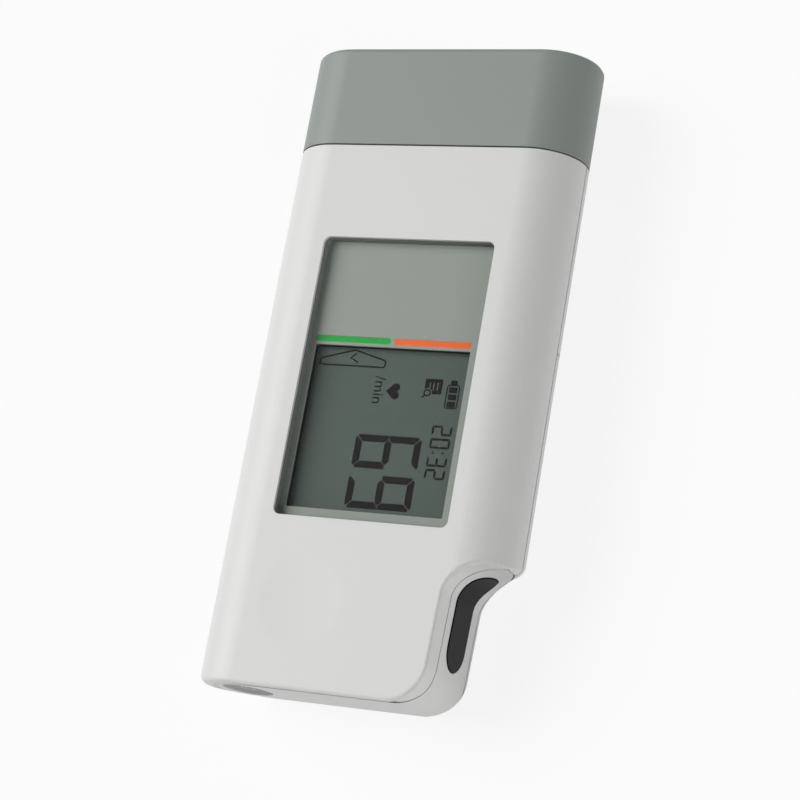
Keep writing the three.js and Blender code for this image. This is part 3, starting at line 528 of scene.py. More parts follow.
def colour(red, green, blue):
    """A colour as read in an image editor, 0 to 255, in Blender's linear values."""
    shares = [value / 255 for value in (red, green, blue)]
    return [c / 12.92 if c <= 0.04045 else ((c + 0.055) / 1.055) ** 2.4 for c in shares] + [1.0]


print("mid grey is", [round(value, 3) for value in colour(128, 128, 128)])

# %% [markdown]
# ## Moulded plastic
# The case, the cap, the band and the button are injection moulded. Their moulds are spark-eroded, which
# leaves a satin skin with a grain of about a quarter of a millimetre. Seen closer, the tone drifts a
# little where the melt flowed. Both come from noise: a coarse one moves colour and roughness, a fine one
# gives the relief.

# %% Plastic finishes
flow_scale, speck_scale, grain_scale, orange_peel_scale = 55.0, 900.0, 4200.0, 1500.0


def moulded(name, tone, roughness, grain=0.000012, drift=0.035, edge=0.00018, gloss=0.5):
    finish = Finish(name, IOR=1.49, Specular_IOR_Level=gloss)
    cloud = finish.noise(flow_scale, 3.0)
    speck = finish.noise(speck_scale, 2.0)
    finish.cloud(cloud * 0.7 + speck * 0.3, tone, drift)
    finish.drive("Roughness", cloud * 0.10 + (roughness - 0.05))
    skin = finish.noise(grain_scale, 2.0) * 0.7 + finish.noise(orange_peel_scale, 1.0) * 0.3
    finish.relief(skin, grain, edge)
    return finish.material


white_shell = moulded("satin_white_moulding", colour(208, 208, 207), 0.46)
grip_skin = moulded("soft_grip_moulding", colour(207, 207, 206), 0.50)
sage_cap = moulded("sage_grey_moulding", colour(128, 134, 130), 0.48)
grey_button = moulded("mid_grey_moulding", colour(116, 116, 116), 0.46)
carbon = moulded("carbon_filled_plastic", colour(14, 14, 14), 0.50, grain=0.00001, drift=0.12, gloss=0.1)
inner_white = moulded("plain_inner_moulding", colour(205, 206, 202), 0.55)
print("plastics:", white_shell.name, sage_cap.name, carbon.name)

# %% [markdown]
# ## Metals, glass and prints
# The contacts are plated spring steel with fine rolling lines, the cells are wrapped in a printed jacket,
# the window is a clear sheet, and the display is a liquid crystal cell with a grey-green reflector behind
# it.

# %% Other finishes
def plated(name, tone, roughness):
    finish = Finish(name, Metallic=1.0)
    stretch = finish.node("ShaderNodeMapping", {"vector_type": "POINT"},
                          {"Vector": finish.place(), "Scale": (200.0, 3000.0, 3000.0)}).out("Vector")
    lines = finish.noise(1.0, 2.0, stretch)
    dull = [value * 0.82 for value in tone[:3]] + [1.0]
    finish.drive("Base Color", finish.blend(lines, dull, tone))
    finish.drive("Roughness", lines * 0.16 + roughness)
    finish.relief(lines, 0.000004, 0.0001)
    return finish.material


def coated(name, tone, roughness, drift=0.05, scale=120.0, grain=0.000004, gloss=0.5):
    finish = Finish(name, IOR=1.5, Specular_IOR_Level=gloss)
    cloud = finish.noise(scale, 3.0)
    finish.cloud(cloud, tone, drift)
    finish.drive("Roughness", cloud * 0.08 + (roughness - 0.04))
    finish.relief(finish.noise(2600.0, 1.0), grain, 0.0001)
    return finish.material


bright_steel = plated("plated_spring_steel", colour(205, 206, 208), 0.24)
screw_steel = plated("blackened_screw_steel", colour(120, 121, 124), 0.34)
mask_print = coated("printed_sage_film", colour(149, 155, 148), 0.42, 0.02, gloss=0.1)
lcd_face = coated("liquid_crystal_cell", colour(75, 87, 81), 0.40, 0.03, 400.0, gloss=0.1)
mark_ink = coated("switched_crystal", colour(9, 10, 9), 0.45, 0.02, gloss=0.05)
green_ink = coated("green_print", colour(38, 160, 66), 0.45, 0.03, gloss=0.1)
orange_ink = coated("orange_print", colour(236, 106, 50), 0.45, 0.03, gloss=0.1)
chip_black = coated("epoxy_package", colour(34, 34, 35), 0.50, 0.1, 900.0)
# The window seal's mid grey is painted shade: it darkens the well round the window where shade falls.
painted_shade_seal = coated("window_seal_painted_shade", colour(112, 116, 112), 0.60, 0.05, gloss=0.2)
# The gasket's black is partly a real black frame and partly painted shade for the shadow under the frame's
# edge.
black_gasket_and_painted_shade = coated("black_gasket_and_painted_shade", colour(12, 12, 12), 0.80, 0.1, 900.0, gloss=0.05)
strip_rubber = coated("layered_rubber", colour(52, 52, 50), 0.70, 0.1, 900.0)
board_green = coated("solder_mask_green", colour(32, 92, 58), 0.34, 0.12, 260.0)
jacket_wrap = coated("printed_cell_jacket", colour(52, 56, 64), 0.26, 0.06)
mark_light = coated("pad_printed_light_grey", colour(182, 182, 180), 0.45, 0.02)

clear_sheet = Finish("clear_window_sheet", Roughness=0.06, IOR=1.49, Alpha=0.012)
haze = clear_sheet.noise(90.0, 2.0)
clear_sheet.drive("Base Color", clear_sheet.blend(haze, colour(146, 150, 148), colour(158, 162, 160)))
clear_sheet = clear_sheet.material
print("materials so far:", len(bpy.data.materials))

# %% [markdown]
# ## Finishing a piece
# A finished piece is brought to metres, gets its finish, and is shaded smooth except at real creases.
# Boolean cuts leave slivers beside long faces, which would shade badly, so points that coincide are
# merged, flat areas are made whole, and the Weighted Normal modifier lets the large faces decide how an
# edge looks.

# %% Helper that finishes a piece
def tidy(mesh, merge=0.002):
    bm = opened(mesh)
    bmesh.ops.remove_doubles(bm, verts=bm.verts, dist=merge)
    bmesh.ops.dissolve_degenerate(bm, dist=merge, edges=bm.edges)
    bmesh.ops.dissolve_limit(bm, angle_limit=math.radians(0.05), verts=bm.verts, edges=bm.edges)
    closed(bm, mesh)


def finish_piece(name, mesh, material, body, replaces=(), crease=32, weigh=True):
    if weigh:
        tidy(mesh)
    mesh.name = name
    mesh.transform(Matrix.Scale(0.001, 4))
    mesh.materials.clear()
    mesh.materials.append(material)
    mesh.shade_smooth()
    mesh.set_sharp_from_angle(angle=math.radians(crease))
    piece = bpy.data.objects.new(name, mesh)
    scene.collection.objects.link(piece)
    if weigh:
        modifier = piece.modifiers.new("weighted_normals", "WEIGHTED_NORMAL")
        modifier.keep_sharp = True
        modifier.weight = 60
    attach(piece, body)
    if replaces:
        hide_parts(*replaces)
    print(f"{name}: {len(mesh.polygons)} faces")
    return piece


sample = block(0, 1, 0, 1, 0, 1)
tidy(sample)
print("faces of a tidied block:", len(sample.polygons))

# %% [markdown]
# ## Grip band
# The band is a separate soft-feel moulding let into the bottom end. It starts beside the button, runs
# along the end, climbs to the front edge and goes up the recess to a rounded tip beside the ledge. Its
# outline is the overlap of a side view and a section, and its skin is the case form less the same form
# moved inwards.

# %% Band zone and slot
band_low, band_top, band_face_inset = 1.7, 16.0, 1.4
band_rise_length = 4.6
band_end = half - 3.7
heel_height, heel_margin, flank_margin, front_margin = 7.0, 2.2, 1.4, 0.5


def band_zone(grow):
    rise = thickness - band_face_inset
    start, stop = bottom - 2 * overrun, ledge + band_skin + grow
    handle = arc_handle(math.pi / 2)
    centre = Vector((bottom + band_rise_length, rise))
    reach, drop = band_rise_length - grow, rise - band_top - grow
    climb = interpolate_bezier(
        centre + Vector((0, -drop)), centre + Vector((-reach * handle, -drop)),
        centre + Vector((-reach, -drop * handle)), centre + Vector((-reach, 0)), 20)
    side = [Vector((start, band_low - grow)), Vector((stop, band_low - grow)),
            Vector((stop, band_top + grow)), *climb,
            Vector((bottom + grow, rise + grow)), Vector((start, rise + grow))]
    face = outline([
        (-band_end - grow, band_low - grow, 7 + grow),
        (half_width_at(band_low) - heel_margin + grow, band_low - grow),
        (half_width_at(heel_height) - heel_margin + grow, heel_height, 5),
        (half - flank_margin + grow, seam, 5),
        (half_width_at(band_top) - front_margin + grow, band_top, 1),
        (flat_half + grow, rise + grow, 1),
        (-flat_half, rise + grow, 5),
        (-band_end - grow, band_top, 3 + grow),
    ])
    clear_of_door = join(
        prism(section(door_room - grow), "Y", start, stop),
        slab(start, stop, seam, thickness + overrun))
    return common(prism(side, "X", -half - overrun, half + overrun), prism(face, "Y", start, stop),
                  clear_of_door)


band_slot = cut(band_zone(gap), case(0, band_room))
print("slot:", round(volume(band_slot)), "mm3")

# %% [markdown]
# ## Bores and the finger electrode's place
# The button's bore and the electrode's stud bore pass through several mouldings, so they are made once.
# The electrode lies in the band: rounded at its lower end in the side view, and at its upper end in the
# section.

# %% Bores and finger zone
def cylinder(radius, axis, low, high, a, b, sides=64):
    angles = [2 * math.pi * step / sides for step in range(sides)]
    circle = [Vector((a + radius * math.cos(angle), b + radius * math.sin(angle))) for angle in angles]
    return prism(circle, axis, low, high)


button_radius, button_x, button_z = 8.9 / 2, -flat_half, 13.5
button_bore = cylinder(button_radius + 0.25, "Y", bottom - overrun, bottom + deep_wall + overrun,
                       button_x, button_z, 96)
finger_width, finger_middle = 8.2, 9.2
stud_radius, stud_y = 0.8, bottom + 15
stud_inner = recess_wall - deep_wall - 0.4
finger_bore = cylinder(stud_radius + gap, "X", stud_inner - overrun, recess_wall,
                       stud_y, finger_middle, 32)


def finger_zone(grow):
    low, high = finger_middle - finger_width / 2 - grow, finger_middle + finger_width / 2 + grow
    round_end = finger_width / 2 + grow - 0.01
    start, stop = bottom + 8.1 - grow, ledge + band_skin
    reach = half - 5.6 + grow
    side = outline([(start, low, round_end), (stop, low), (stop, high), (start, high, round_end)], 24)
    face = outline([(0, low), (reach, low, round_end), (reach, high, round_end), (0, high)], 24)
    return common(prism(side, "X", 0, half + overrun), prism(face, "Y", bottom, stop))


print("button bore at", round(button_x, 2), button_z)

# %% [markdown]
# ## The band and the electrode in it
# The band is the outer skin inside its zone, less the pocket that the electrode lies in. The electrode
# stands proud of the skin by a fifth of a millimetre, so it is cut from a case that is moved outwards by
# that much.

# %% Band and finger electrode
plate_depth, plate_rise, plate_room = 0.9, 0.2, 0.15
pocket = cut(finger_zone(plate_room), case(0, plate_depth + plate_room))
band = cut(common(cut(outer_form, case(0, band_skin)), band_zone(0)), pocket, button_bore, finger_bore)
finish_piece("grip_band_skin", band, grip_skin, "housing", ["grip_band"])

plate = common(finger_zone(0), cut(case(0, -plate_rise), case(0, plate_depth)))
stud = cylinder(stud_radius, "X", stud_inner, recess_wall, stud_y, finger_middle, 32)
finish_piece("finger_plate", join(plate, stud), carbon, "housing",
             ["finger_electrode"])

# %% [markdown]
# ## Window opening and front shell
# The front shell is the face and both flanks down to the seam. Its window opening has a shelf on which
# the printed frame rests, and a shallow dimple for the thumb. The dimple is so slight that it is only
# seen as a soft change of tone, so it needs many rings to shade evenly.

# %% Front shell
window_x, window_half_width, window_half_length = -0.25, 34.1 / 2, 27.0
room_share, lens_inset, lens_thick, mask_thick = 0.2308, 1.0, 1.3, 0.4
window_low = ledge + room_share * (cap_seam - ledge - 2 * window_half_length)
window_y = window_low + window_half_length
lens_top = thickness - lens_inset
lens_bottom = lens_top - lens_thick
mask_bottom = lens_bottom - mask_thick
shelf_top = mask_bottom - seat
screw_side = half - 8.5
screw_radius, screw_room, head_radius, screw_low = 0.95, 1.25, 1.9, 3.8
bay_start, bay_stop = bottom + 12.0, bottom + 12.0 + 50.5
screw_spots = [(-screw_side, bottom + 17.0), (recess_wall - 7.0, bottom + 7.8),
               (-screw_side, bay_stop + 1.0), (screw_side, bay_stop + 1.0)]
head_top = screw_low + 1.4
pad_top, screw_top = head_top + 1.4, head_top + 7.6


def window_shape(grow, steps=fine):
    return rectangle(
        window_x - window_half_width - grow, window_x + window_half_width + grow,
        window_y - window_half_length - grow, window_y + window_half_length + grow,
        1.2 + max(grow, 0), steps)


def turned(profile, axis, a, b, sides=96):
    """Solid turned from (radius, height) pairs that start and end on the axis."""
    bm = bmesh.new()
    verts = [bm.verts.new((radius, 0, height)) for radius, height in profile]
    edges = [bm.edges.new(pair) for pair in zip(verts, verts[1:])]
    bmesh.ops.spin(bm, geom=verts + edges, cent=(0, 0, 0), axis=(0, 0, 1), angle=2 * math.pi,
                   steps=sides, use_merge=True)
    bmesh.ops.remove_doubles(bm, verts=bm.verts, dist=0.0005)
    bmesh.ops.recalc_face_normals(bm, faces=bm.faces)
    mesh = closed(bm)
    if axis == "Y":
        mesh.transform(Matrix.Rotation(-math.pi / 2, 4, "X"))
        mesh.transform(Matrix.Translation((a, 0, b)))
    else:
        mesh.transform(Matrix.Translation((a, b, 0)))
    return mesh


def thumb_dimple(x=-8.7, y=bottom + 16.2, radius=8.5, depth=0.18, rings=10):
    """Cutter for the dimple: a shallow cap of a large ball, under a cylinder."""
    ball = (radius ** 2 + depth ** 2) / (2 * depth)
    centre = thickness + ball - depth
    reaches = [radius * ring / rings for ring in range(rings + 1)]
    profile = [(reach, centre - math.sqrt(ball ** 2 - reach ** 2)) for reach in reaches]
    return turned([*profile, (radius, thickness + overrun), (0, thickness + overrun)], "Z", x, y, 128)


front = common(cut(outer_form, case(wall, deep_wall)),
               slab(bottom - overrun, cap_seam - gap / 2, seam, thickness + overrun))
rim = prism(window_shape(1.6), "Z", shelf_top - 0.9, thickness - wall + seat)
clear = join(case(door_room + lining + gap, deep_wall + gap),
             slab(bottom + wall, top - wall, seam, thickness - wall + seat))
bosses = [common(clear, cylinder(2.1, "Z", pad_top + gap, thickness - wall + seat, x, y, 32))
          for x, y in screw_spots]
pilots = [cylinder(screw_room, "Z", pad_top, screw_top + gap, x, y, 32) for x, y in screw_spots]
shelf = rectangle(window_x - window_half_width + 0.5, window_x + window_half_width - 0.5,
                  window_y - window_half_length + 1.2, window_y + window_half_length - 1.2, 1.2)
front = cut(join(front, rim, *bosses), band_slot, button_bore,
            prism(window_shape(0.15), "Z", shelf_top, thickness + overrun),
            prism(shelf, "Z", shelf_top - 2.0, thickness), thumb_dimple(), *pilots)
finish_piece("front_shell_skin", front, white_shell, "housing", ["front_shell"])

# %% [markdown]
# ## Back of the case
# The battery door is the back below the cross line, wrapped round both flanks up to the seam. The rear
# shell is the fixed strip above it, with a second wall under the door that carries the cell bay and the
# screw pads.

# %% Battery door and rear shell
door_end = bay_stop + 5.5
door = cut(common(cut(outer_form, case(door_skin, band_skin)),
                  slab(bottom - overrun, door_end - gap / 2, -overrun, seam - gap)), band_slot)
finish_piece("battery_door_skin", door, white_shell, "door", ["battery_door"])

cell_floor, cell_radius, cell_gap, bay_wall = door_skin + gap, 10.5 / 2, 0.5, 1.2
cell_z = cell_floor + cell_radius
bay_ceiling = cell_floor + 2 * cell_radius + gap
bay_x = (recess_wall - half) / 2 + 0.9
bay_half = (4 * cell_radius + 3 * cell_gap) / 2
door_stop = door_end + gap / 2
sill = door_stop + wall
lip_start, lip_stop = ledge + deep_wall + gap, cap_seam - 5.8 - gap
lining_form = case(door_room, band_room)
deep_form = case(door_room + lining, deep_wall)
wall_form = case(wall)
back = common(cut(outer_form, wall_form), slab(door_stop, cap_seam - gap / 2, -overrun, seam - gap))
landing = common(cut(outer_form, deep_form), slab(door_stop, sill, -overrun, seam - gap))
tub = common(cut(lining_form, deep_form), slab(bottom - overrun, sill, -overrun, seam - gap))
lip = common(cut(case(wall + gap), deep_form), slab(lip_start, lip_stop, seam - 2 * gap, seam + 1.3))
lip_root = common(cut(wall_form, deep_form), slab(lip_start, lip_stop, seam - 1.3 - gap, seam - gap))
bay = common(lining_form, block(bay_x - bay_half - bay_wall, bay_x + bay_half + bay_wall,
                                bay_start - bay_wall, bay_stop + bay_wall, 0, bay_ceiling + 0.8))
pads = [common(lining_form, cylinder(3.0, "Z", 0, pad_top, x, y, 48)) for x, y in screw_spots]
heads = [cylinder(head_radius + gap, "Z", -overrun, head_top + seat, x, y, 48) for x, y in screw_spots]
shafts = [cylinder(screw_room, "Z", 0, seam, x, y, 32) for x, y in screw_spots]
rear = cut(join(back, landing, tub, lip_root, lip, bay, *pads),
           block(bay_x - bay_half, bay_x + bay_half, bay_start, bay_stop, -overrun, bay_ceiling),
           band_slot, button_bore, finger_bore, *heads, *shafts)
finish_piece("rear_shell_skin", rear, white_shell, "housing", ["rear_shell"])

# %% [markdown]
# ## Cap, electrode head and chest electrode
# The cap is a deep cup with the case's own section. Under it the head plugs the two shells, and carries
# the oval electrode that is pressed to the chest.

# %% Cap and head
head_start, head_end, head_wall = cap_seam - 5.8, cap_seam + 12.7, 1.5
chest_x, chest_thick = 5.0, 1.2


def rounded_bar(points, low, high, edge, steps=6):
    """Prism along Y whose far end has a rounded edge all round."""
    normals = outward(points)
    rings = [place(points, "Y", low)]
    for angle in quarter(steps):
        drawn = [point - normal * edge * (1 - math.cos(angle)) for point, normal in zip(points, normals)]
        rings.append(place(drawn, "Y", high - edge * (1 - math.sin(angle))))
    return loft(rings)


cap = cut(common(outer_form, slab(cap_seam + gap / 2, top + overrun, -overrun, thickness + overrun)),
          prism(section(wall), "Y", cap_seam - overrun, top - 2.1))
finish_piece("cap_cup", cap, sage_cap, "cap", ["protective_cap"])

head = cut(rounded_bar(section(wall + gap), head_start, head_end, 0.6),
           prism(section(wall + gap + head_wall), "Y", head_start - overrun, head_end - head_wall),
           cylinder(stud_radius + gap, "Y", head_end - head_wall - overrun, head_end + overrun,
                    chest_x, thickness / 2, 32))
finish_piece("head_plug", head, inner_white, "housing", ["electrode_head"])

oval = rectangle(-17, 17, thickness / 2 - 5, thickness / 2 + 5, 4.9, 20)
chest = join(rounded_bar(oval, head_end + seat, head_end + seat + chest_thick, 0.4),
             cylinder(stud_radius, "Y", head_end - 1.9, head_end + 0.6, chest_x, thickness / 2, 32))
finish_piece("chest_plate", chest, bright_steel, "housing", ["chest_electrode"])

# %% [markdown]
# ## Power button
# The button is a short grey cylinder with a dished face, a flange that keeps it behind the lining, and a
# stem that meets the switch. A lathe profile gives all of it at once.

# %% Button
button_face = bottom + 0.15
flange_start = bottom + deep_wall + gap
flange_stop = flange_start + 0.8
stem_end = flange_stop + 1.2


def dish(share, depth=0.25):
    return button_face + depth * (1 - share ** 2)


def round_edge(radius, height, size, steps=5):
    """Lathe profile of a rounded outer edge that starts at this height and rises."""
    return [(radius - size * (1 - math.sin(angle)), height + size * (1 - math.cos(angle)))
            for angle in quarter(steps)]


button_edge, flange_width, stem_radius, dish_rings = 0.25, 0.8, 1.5, 12
dish_radius = button_radius - button_edge
shares = [ring / dish_rings for ring in range(dish_rings)]
profile = [(share * dish_radius, dish(share * dish_radius / button_radius)) for share in shares]
profile += round_edge(button_radius, dish(dish_radius / button_radius), button_edge)
profile += [(button_radius, flange_start), (button_radius + flange_width, flange_start),
            (button_radius + flange_width, flange_stop), (stem_radius, flange_stop),
            (stem_radius, stem_end), (0, stem_end)]
button = turned(profile, "Y", button_x, button_z, 128)
finish_piece("button_cap", button, grey_button, "button", ["power_button"])

# %% [markdown]
# ## Window and printed frame
# The window is a clear sheet let into the face, with a small polished chamfer. The frame behind it is a
# printed film whose opening shows the display.

# %% Window and frame
def bevelled(mesh, size, steps=3, sharp_angle=60):
    """Round the sharp edges of a closed shape."""
    bm = opened(mesh)
    edges = [edge for edge in bm.edges if math.degrees(edge.calc_face_angle(0)) > sharp_angle]
    bmesh.ops.bevel(bm, geom=edges, offset=size, affect="EDGES", segments=steps, profile=0.5, material=-1)
    return closed(bm, mesh)


pane_rise = 0.5
pane = bevelled(prism(window_shape(0, 12), "Z", lens_bottom, lens_top + pane_rise), 0.15)
finish_piece("clear_pane", pane, clear_sheet, "housing", ["display_window"], crease=50)

view_x, view_half_width, view_half_length = -0.75, 31.1 / 2, 31.5 / 2
view_y = window_low + 2.0 + view_half_length


def view_shape(grow=0.0):
    return rectangle(view_x - view_half_width - grow, view_x + view_half_width + grow,
                     view_y - view_half_length - grow, view_y + view_half_length + grow, 0.25, 4)


film = cut(prism(window_shape(0, 12), "Z", mask_bottom, lens_bottom - 0.02),
           prism(view_shape(), "Z", mask_bottom - overrun, lens_bottom + overrun))
finish_piece("printed_frame", film, mask_print, "housing", ["window_mask"])

# %% [markdown]
# ## Seals, printed bars and display marks
# A grey seal fills the gap round the window. Its mid grey is painted shade that darkens the well round the
# window where shade falls. A black gasket stands round the display, and its black is partly painted shade
# for the shadow under the frame's edge. The frame carries two coloured bars beside the pointer that the
# display can show. The display itself has one etched electrode for each mark. Here every mark is a thin
# dark plate on the glass. The marks are drawn in the reader's direction, which runs down the case, and
# turned to their place once at the end.

# %% Thin plates
mark = 0.03


def plates(outlines, thick=mark, line=0.0):
    """Thin solids of flat outlines in one mesh; with a line width only their borders are kept."""
    bm = bmesh.new()
    rings = [[bm.verts.new((point[0], point[1], 0)) for point in points] for points in outlines]
    faces = [bm.faces.new(ring) for ring in rings]
    if line:
        bm.normal_update()
        bmesh.ops.inset_individual(bm, faces=faces, thickness=line, use_even_offset=True)
        bmesh.ops.delete(bm, geom=faces, context="FACES_ONLY")
    moved = bmesh.ops.extrude_face_region(bm, geom=bm.faces[:])["geom"]
    raised = [item for item in moved if isinstance(item, bmesh.types.BMVert)]
    bmesh.ops.translate(bm, vec=(0, 0, thick), verts=raised)
    bmesh.ops.recalc_face_normals(bm, faces=bm.faces)
    return closed(bm)


def stroke(points, line):
    """Outline of a line of this width through three or more points, with mitred joints."""
    spots = [Vector(point) for point in points]
    shifts = []
    for index in range(len(spots)):
        before = (spots[index] - spots[max(index - 1, 0)]).normalized()
        after = (spots[min(index + 1, len(spots) - 1)] - spots[index]).normalized()
        along = (before + after).normalized()
        across = Vector((-along.y, along.x))
        lean = max(across.dot(Vector((-after.y, after.x))) if after.length else 1.0, 0.3)
        shifts.append(across * line / 2 / lean)
    one_side = [spot + shift for spot, shift in zip(spots, shifts)]
    other_side = [spot - shift for spot, shift in zip(spots, shifts)]
    return one_side + other_side[::-1]


# The seal's grey is painted shade for the well round the window, not a colour of its own.
seal = cut(prism(window_shape(0.14, 12), "Z", lens_bottom, lens_top + 0.4),
           prism(window_shape(0.01, 12), "Z", lens_bottom - overrun, lens_top + overrun))
finish_piece("pane_seal_painted_shade", seal, painted_shade_seal, "housing")
# The gasket's black is partly painted shade: it stands in for the shadow under the printed frame's edge.
lcd_top = mask_bottom - 1.15
gasket = cut(prism(view_shape(0.9), "Z", lcd_top + 0.02, mask_bottom - 0.02),
             prism(view_shape(0.02), "Z", lcd_top - overrun, mask_bottom + overrun))
finish_piece("display_gasket_painted_shade", gasket, black_gasket_and_painted_shade, "housing")

bar_low, bar_high = view_y + view_half_length + 0.6, view_y + view_half_length + 1.85
bar_under, bar_over = lens_bottom - 0.1, lens_bottom - 0.01
bars = {"green_bar": (green_ink, -16.4, -1.2), "orange_bar": (orange_ink, -0.6, 14.7)}
for name, (ink, start, stop) in bars.items():
    shape = rectangle(start, stop, bar_low, bar_high, 0.55)
    finish_piece(name, prism(shape, "Z", bar_under, bar_over), ink, "housing")

# %% [markdown]
# ## Seven-segment digits
# A digit is seven plates with mitred joints, and only some of them are switched on. One set of outlines
# is drawn for the left and upper half and mirrored for the rest, so all joints have the same gap.

# %% Digits
switched_on = {"0": "abcdef", "2": "abged", "3": "abgcd", "6": "acdefg", "9": "abcdfg"}


def digit(number, left, low, wide, high, line, joint):
    """Outlines of the segments that show a number."""
    middle, skew, corner = high / 2, joint / math.sqrt(2), 0.2 * line
    flat = [(skew, high, corner), (line + skew, high - line), (wide - line - skew, high - line),
            (wide - skew, high, corner)]
    upright = [(0, high - skew, corner), (0, middle + joint / 2), (line / 2, middle + joint / 2),
               (line, middle + line / 2 + skew), (line, high - line - skew)]
    cross = [(line / 2 + skew, middle), (line + skew, middle - line / 2),
             (wide - line - skew, middle - line / 2), (wide - line / 2 - skew, middle),
             (wide - line - skew, middle + line / 2), (line + skew, middle + line / 2)]

    def turned_over(corners, across, over):
        return [(left + (wide - x if across else x), low + (high - y if over else y), *rest)
                for x, y, *rest in corners]

    shapes = {"a": (flat, 0, 0), "b": (upright, 1, 0), "c": (upright, 1, 1), "d": (flat, 0, 1),
              "e": (upright, 0, 1), "f": (upright, 0, 0), "g": (cross, 0, 0)}
    return [outline(turned_over(*shapes[letter]), 4) for letter in switched_on[number]]


large = {"low": 10.95, "wide": 6.4, "high": 13.1, "line": 1.35, "joint": 0.16}
small = {"low": 25.6, "wide": 1.95, "high": 3.95, "line": 0.42, "joint": 0.1}
rate = (("6", 16.45), ("9", 24.1))
clock = (("2", 13.85), ("0", 16.3), ("3", 19.7), ("2", 22.1))
marks = [plates(digit(number, left, **size))
         for row, size in ((rate, large), (clock, small)) for number, left in row]
dot = 0.21
marks.append(plates([rectangle(19.0 - dot, 19.0 + dot, v - dot, v + dot, 0.08, 3) for v in (26.56, 28.46)]))
print("digit meshes:", len(marks))

# %% [markdown]
# ## Pictograms
# A pointer frame with a tick shows the result, a heart and a unit stand beside the number, and a list
# with a lens and a charge level lie in the upper corner. They are plain generic signs. Frames are
# outlines of which only the border is kept, and the letters come from Blender's built-in font.

# %% Pictograms
pointer = outline([(0.2, 7.65, 0.5), (2.05, 14.3, 0.6), (3.6, 14.2, 0.5),
                   (3.6, 0.75, 0.3), (2.1, 0.85, 0.5)], 5)
marks.append(plates([pointer], line=0.3))
marks.append(plates([stroke([(1.0, 8.0), (1.9, 7.0), (2.8, 8.6)], 0.28)]))


def heart_point(turn):
    """Point of the well-known heart curve."""
    waves = (13, 1), (-5, 2), (-2, 3), (-1, 4)
    return 7.9 + 1.55 * math.sin(turn) ** 3, 16.75 + 0.098 * sum(a * math.cos(n * turn) for a, n in waves)


heart = [heart_point(2 * math.pi * step / 64) for step in range(64)]
marks.append(plates([heart]))

sheet = prism(rectangle(5.1, 8.0, 22.75, 26.15, 0.25, 4), "Z", 0, mark)
lines = [prism(rectangle(5.75, 7.35, v - 0.13, v + 0.13, 0.1, 3), "Z", -1, 1)
         for v in (23.75, 24.5, 25.25)]
lens = (7.8, 23.4, 48)
marks.append(cut(sheet, *lines, cylinder(0.95, "Z", -1, 1, *lens)))
marks.append(cut(cylinder(0.72, "Z", 0, mark, *lens), cylinder(0.45, "Z", -1, 1, *lens)))
marks.append(plates([stroke([(8.3, 22.9), (8.5, 22.7), (8.75, 22.45)], 0.32)]))

marks.append(plates([rectangle(5.97, 10.6, 27.1, 29.7, 0.6, 6)], line=0.24))
marks.append(plates([outline([(5.13, 27.7, 0.2), (5.13, 29.1, 0.2), (5.96, 29.0), (5.96, 27.8)], 4)]))
marks.append(plates([rectangle(u, u + 1.12, 27.58, 29.22, 0.12, 3) for u in (6.45, 7.82, 9.18)]))


def mesh_of(curve):
    """Mesh of a curve or of letters, with their thickness."""
    helper = bpy.data.objects.new("pattern", curve)
    scene.collection.objects.link(helper)
    depsgraph = bpy.context.evaluated_depsgraph_get()
    mesh = bpy.data.meshes.new_from_object(helper.evaluated_get(depsgraph))
    bpy.data.objects.remove(helper)
    return mesh


def lettering(words, size, thick=mark):
    """Solid letters in the built-in font, standing on the start of their line."""
    font = bpy.data.curves.new("letters", "FONT")
    font.body = words
    font.size = size
    font.extrude = thick / 2
    font.resolution_u = 5
    return mesh_of(font)


unit = lettering("/min", 3.1)
unit.transform(Matrix.Translation((5.1, 12.75, mark / 2)))
marks.append(unit)

reader = Matrix(((0, 1, 0, view_x - view_half_width), (-1, 0, 0, view_y + view_half_length),
                 (0, 0, 1, lcd_top), (0, 0, 0, 1)))
shown = closed(opened(*marks))
shown.transform(reader)
finish_piece("display_marks", shown, mark_ink, "housing", weigh=False)

# %% [markdown]
# ## Power sign
# The button carries the usual sign, an open ring with a bar, in a light print. It is a thin plate like
# the display's marks, stood upright and set just into the middle of the button's dish.

# %% Power sign on the button
ring_radius, ring_open, ring_steps, print_line, print_thick = 1.25, 38, 40, 0.3, 0.06
ring_angles = [math.radians(ring_open + (360 - 2 * ring_open) * step / ring_steps)
               for step in range(ring_steps + 1)]
open_ring = [Vector((math.sin(angle), math.cos(angle))) * ring_radius for angle in ring_angles]
bar = rectangle(-print_line / 2, print_line / 2, 0.5, 1.65, 0.1, 3)
sign = plates([stroke(open_ring, print_line), bar], print_thick)
sign_place = Matrix.Translation((button_x, dish(0.0) + 0.02, button_z))
sign.transform(sign_place @ Matrix.Rotation(math.pi / 2, 4, "X"))
finish_piece("button_sign", sign, mark_light, "button", weigh=False)

# %% [markdown]
# ## Cells
# The cells show when the door is off. A cell is a turned can whose ends are bare metal inside the rim of
# its jacket, so it has two finishes, and each face takes one by its distance from the axis.

# %% Cells
cell_length, nub_length, nub_radius, rim_edge = 44.5, 1.0, 1.9, 0.5
cell_low = bay_start + 3.0
jacket_end, bare_radius = cell_length - nub_length, cell_radius - 1.2
lower_rim = round_edge(cell_radius, 0, rim_edge)
upper_rim = [(radius, jacket_end - height) for radius, height in reversed(lower_rim)]
can_profile = [(0, 0.12), (bare_radius - 0.1, 0.12), (bare_radius, 0), *lower_rim, *upper_rim,
               (bare_radius, jacket_end), (bare_radius - 0.1, jacket_end - 0.12),
               (nub_radius, jacket_end - 0.12), (nub_radius, cell_length - 0.2),
               (nub_radius - 0.2, cell_length), (0, cell_length)]


def column_x(side):
    """Middle of the left (-1) or right (1) cell."""
    return bay_x + side * (2 * cell_radius + cell_gap) / 2


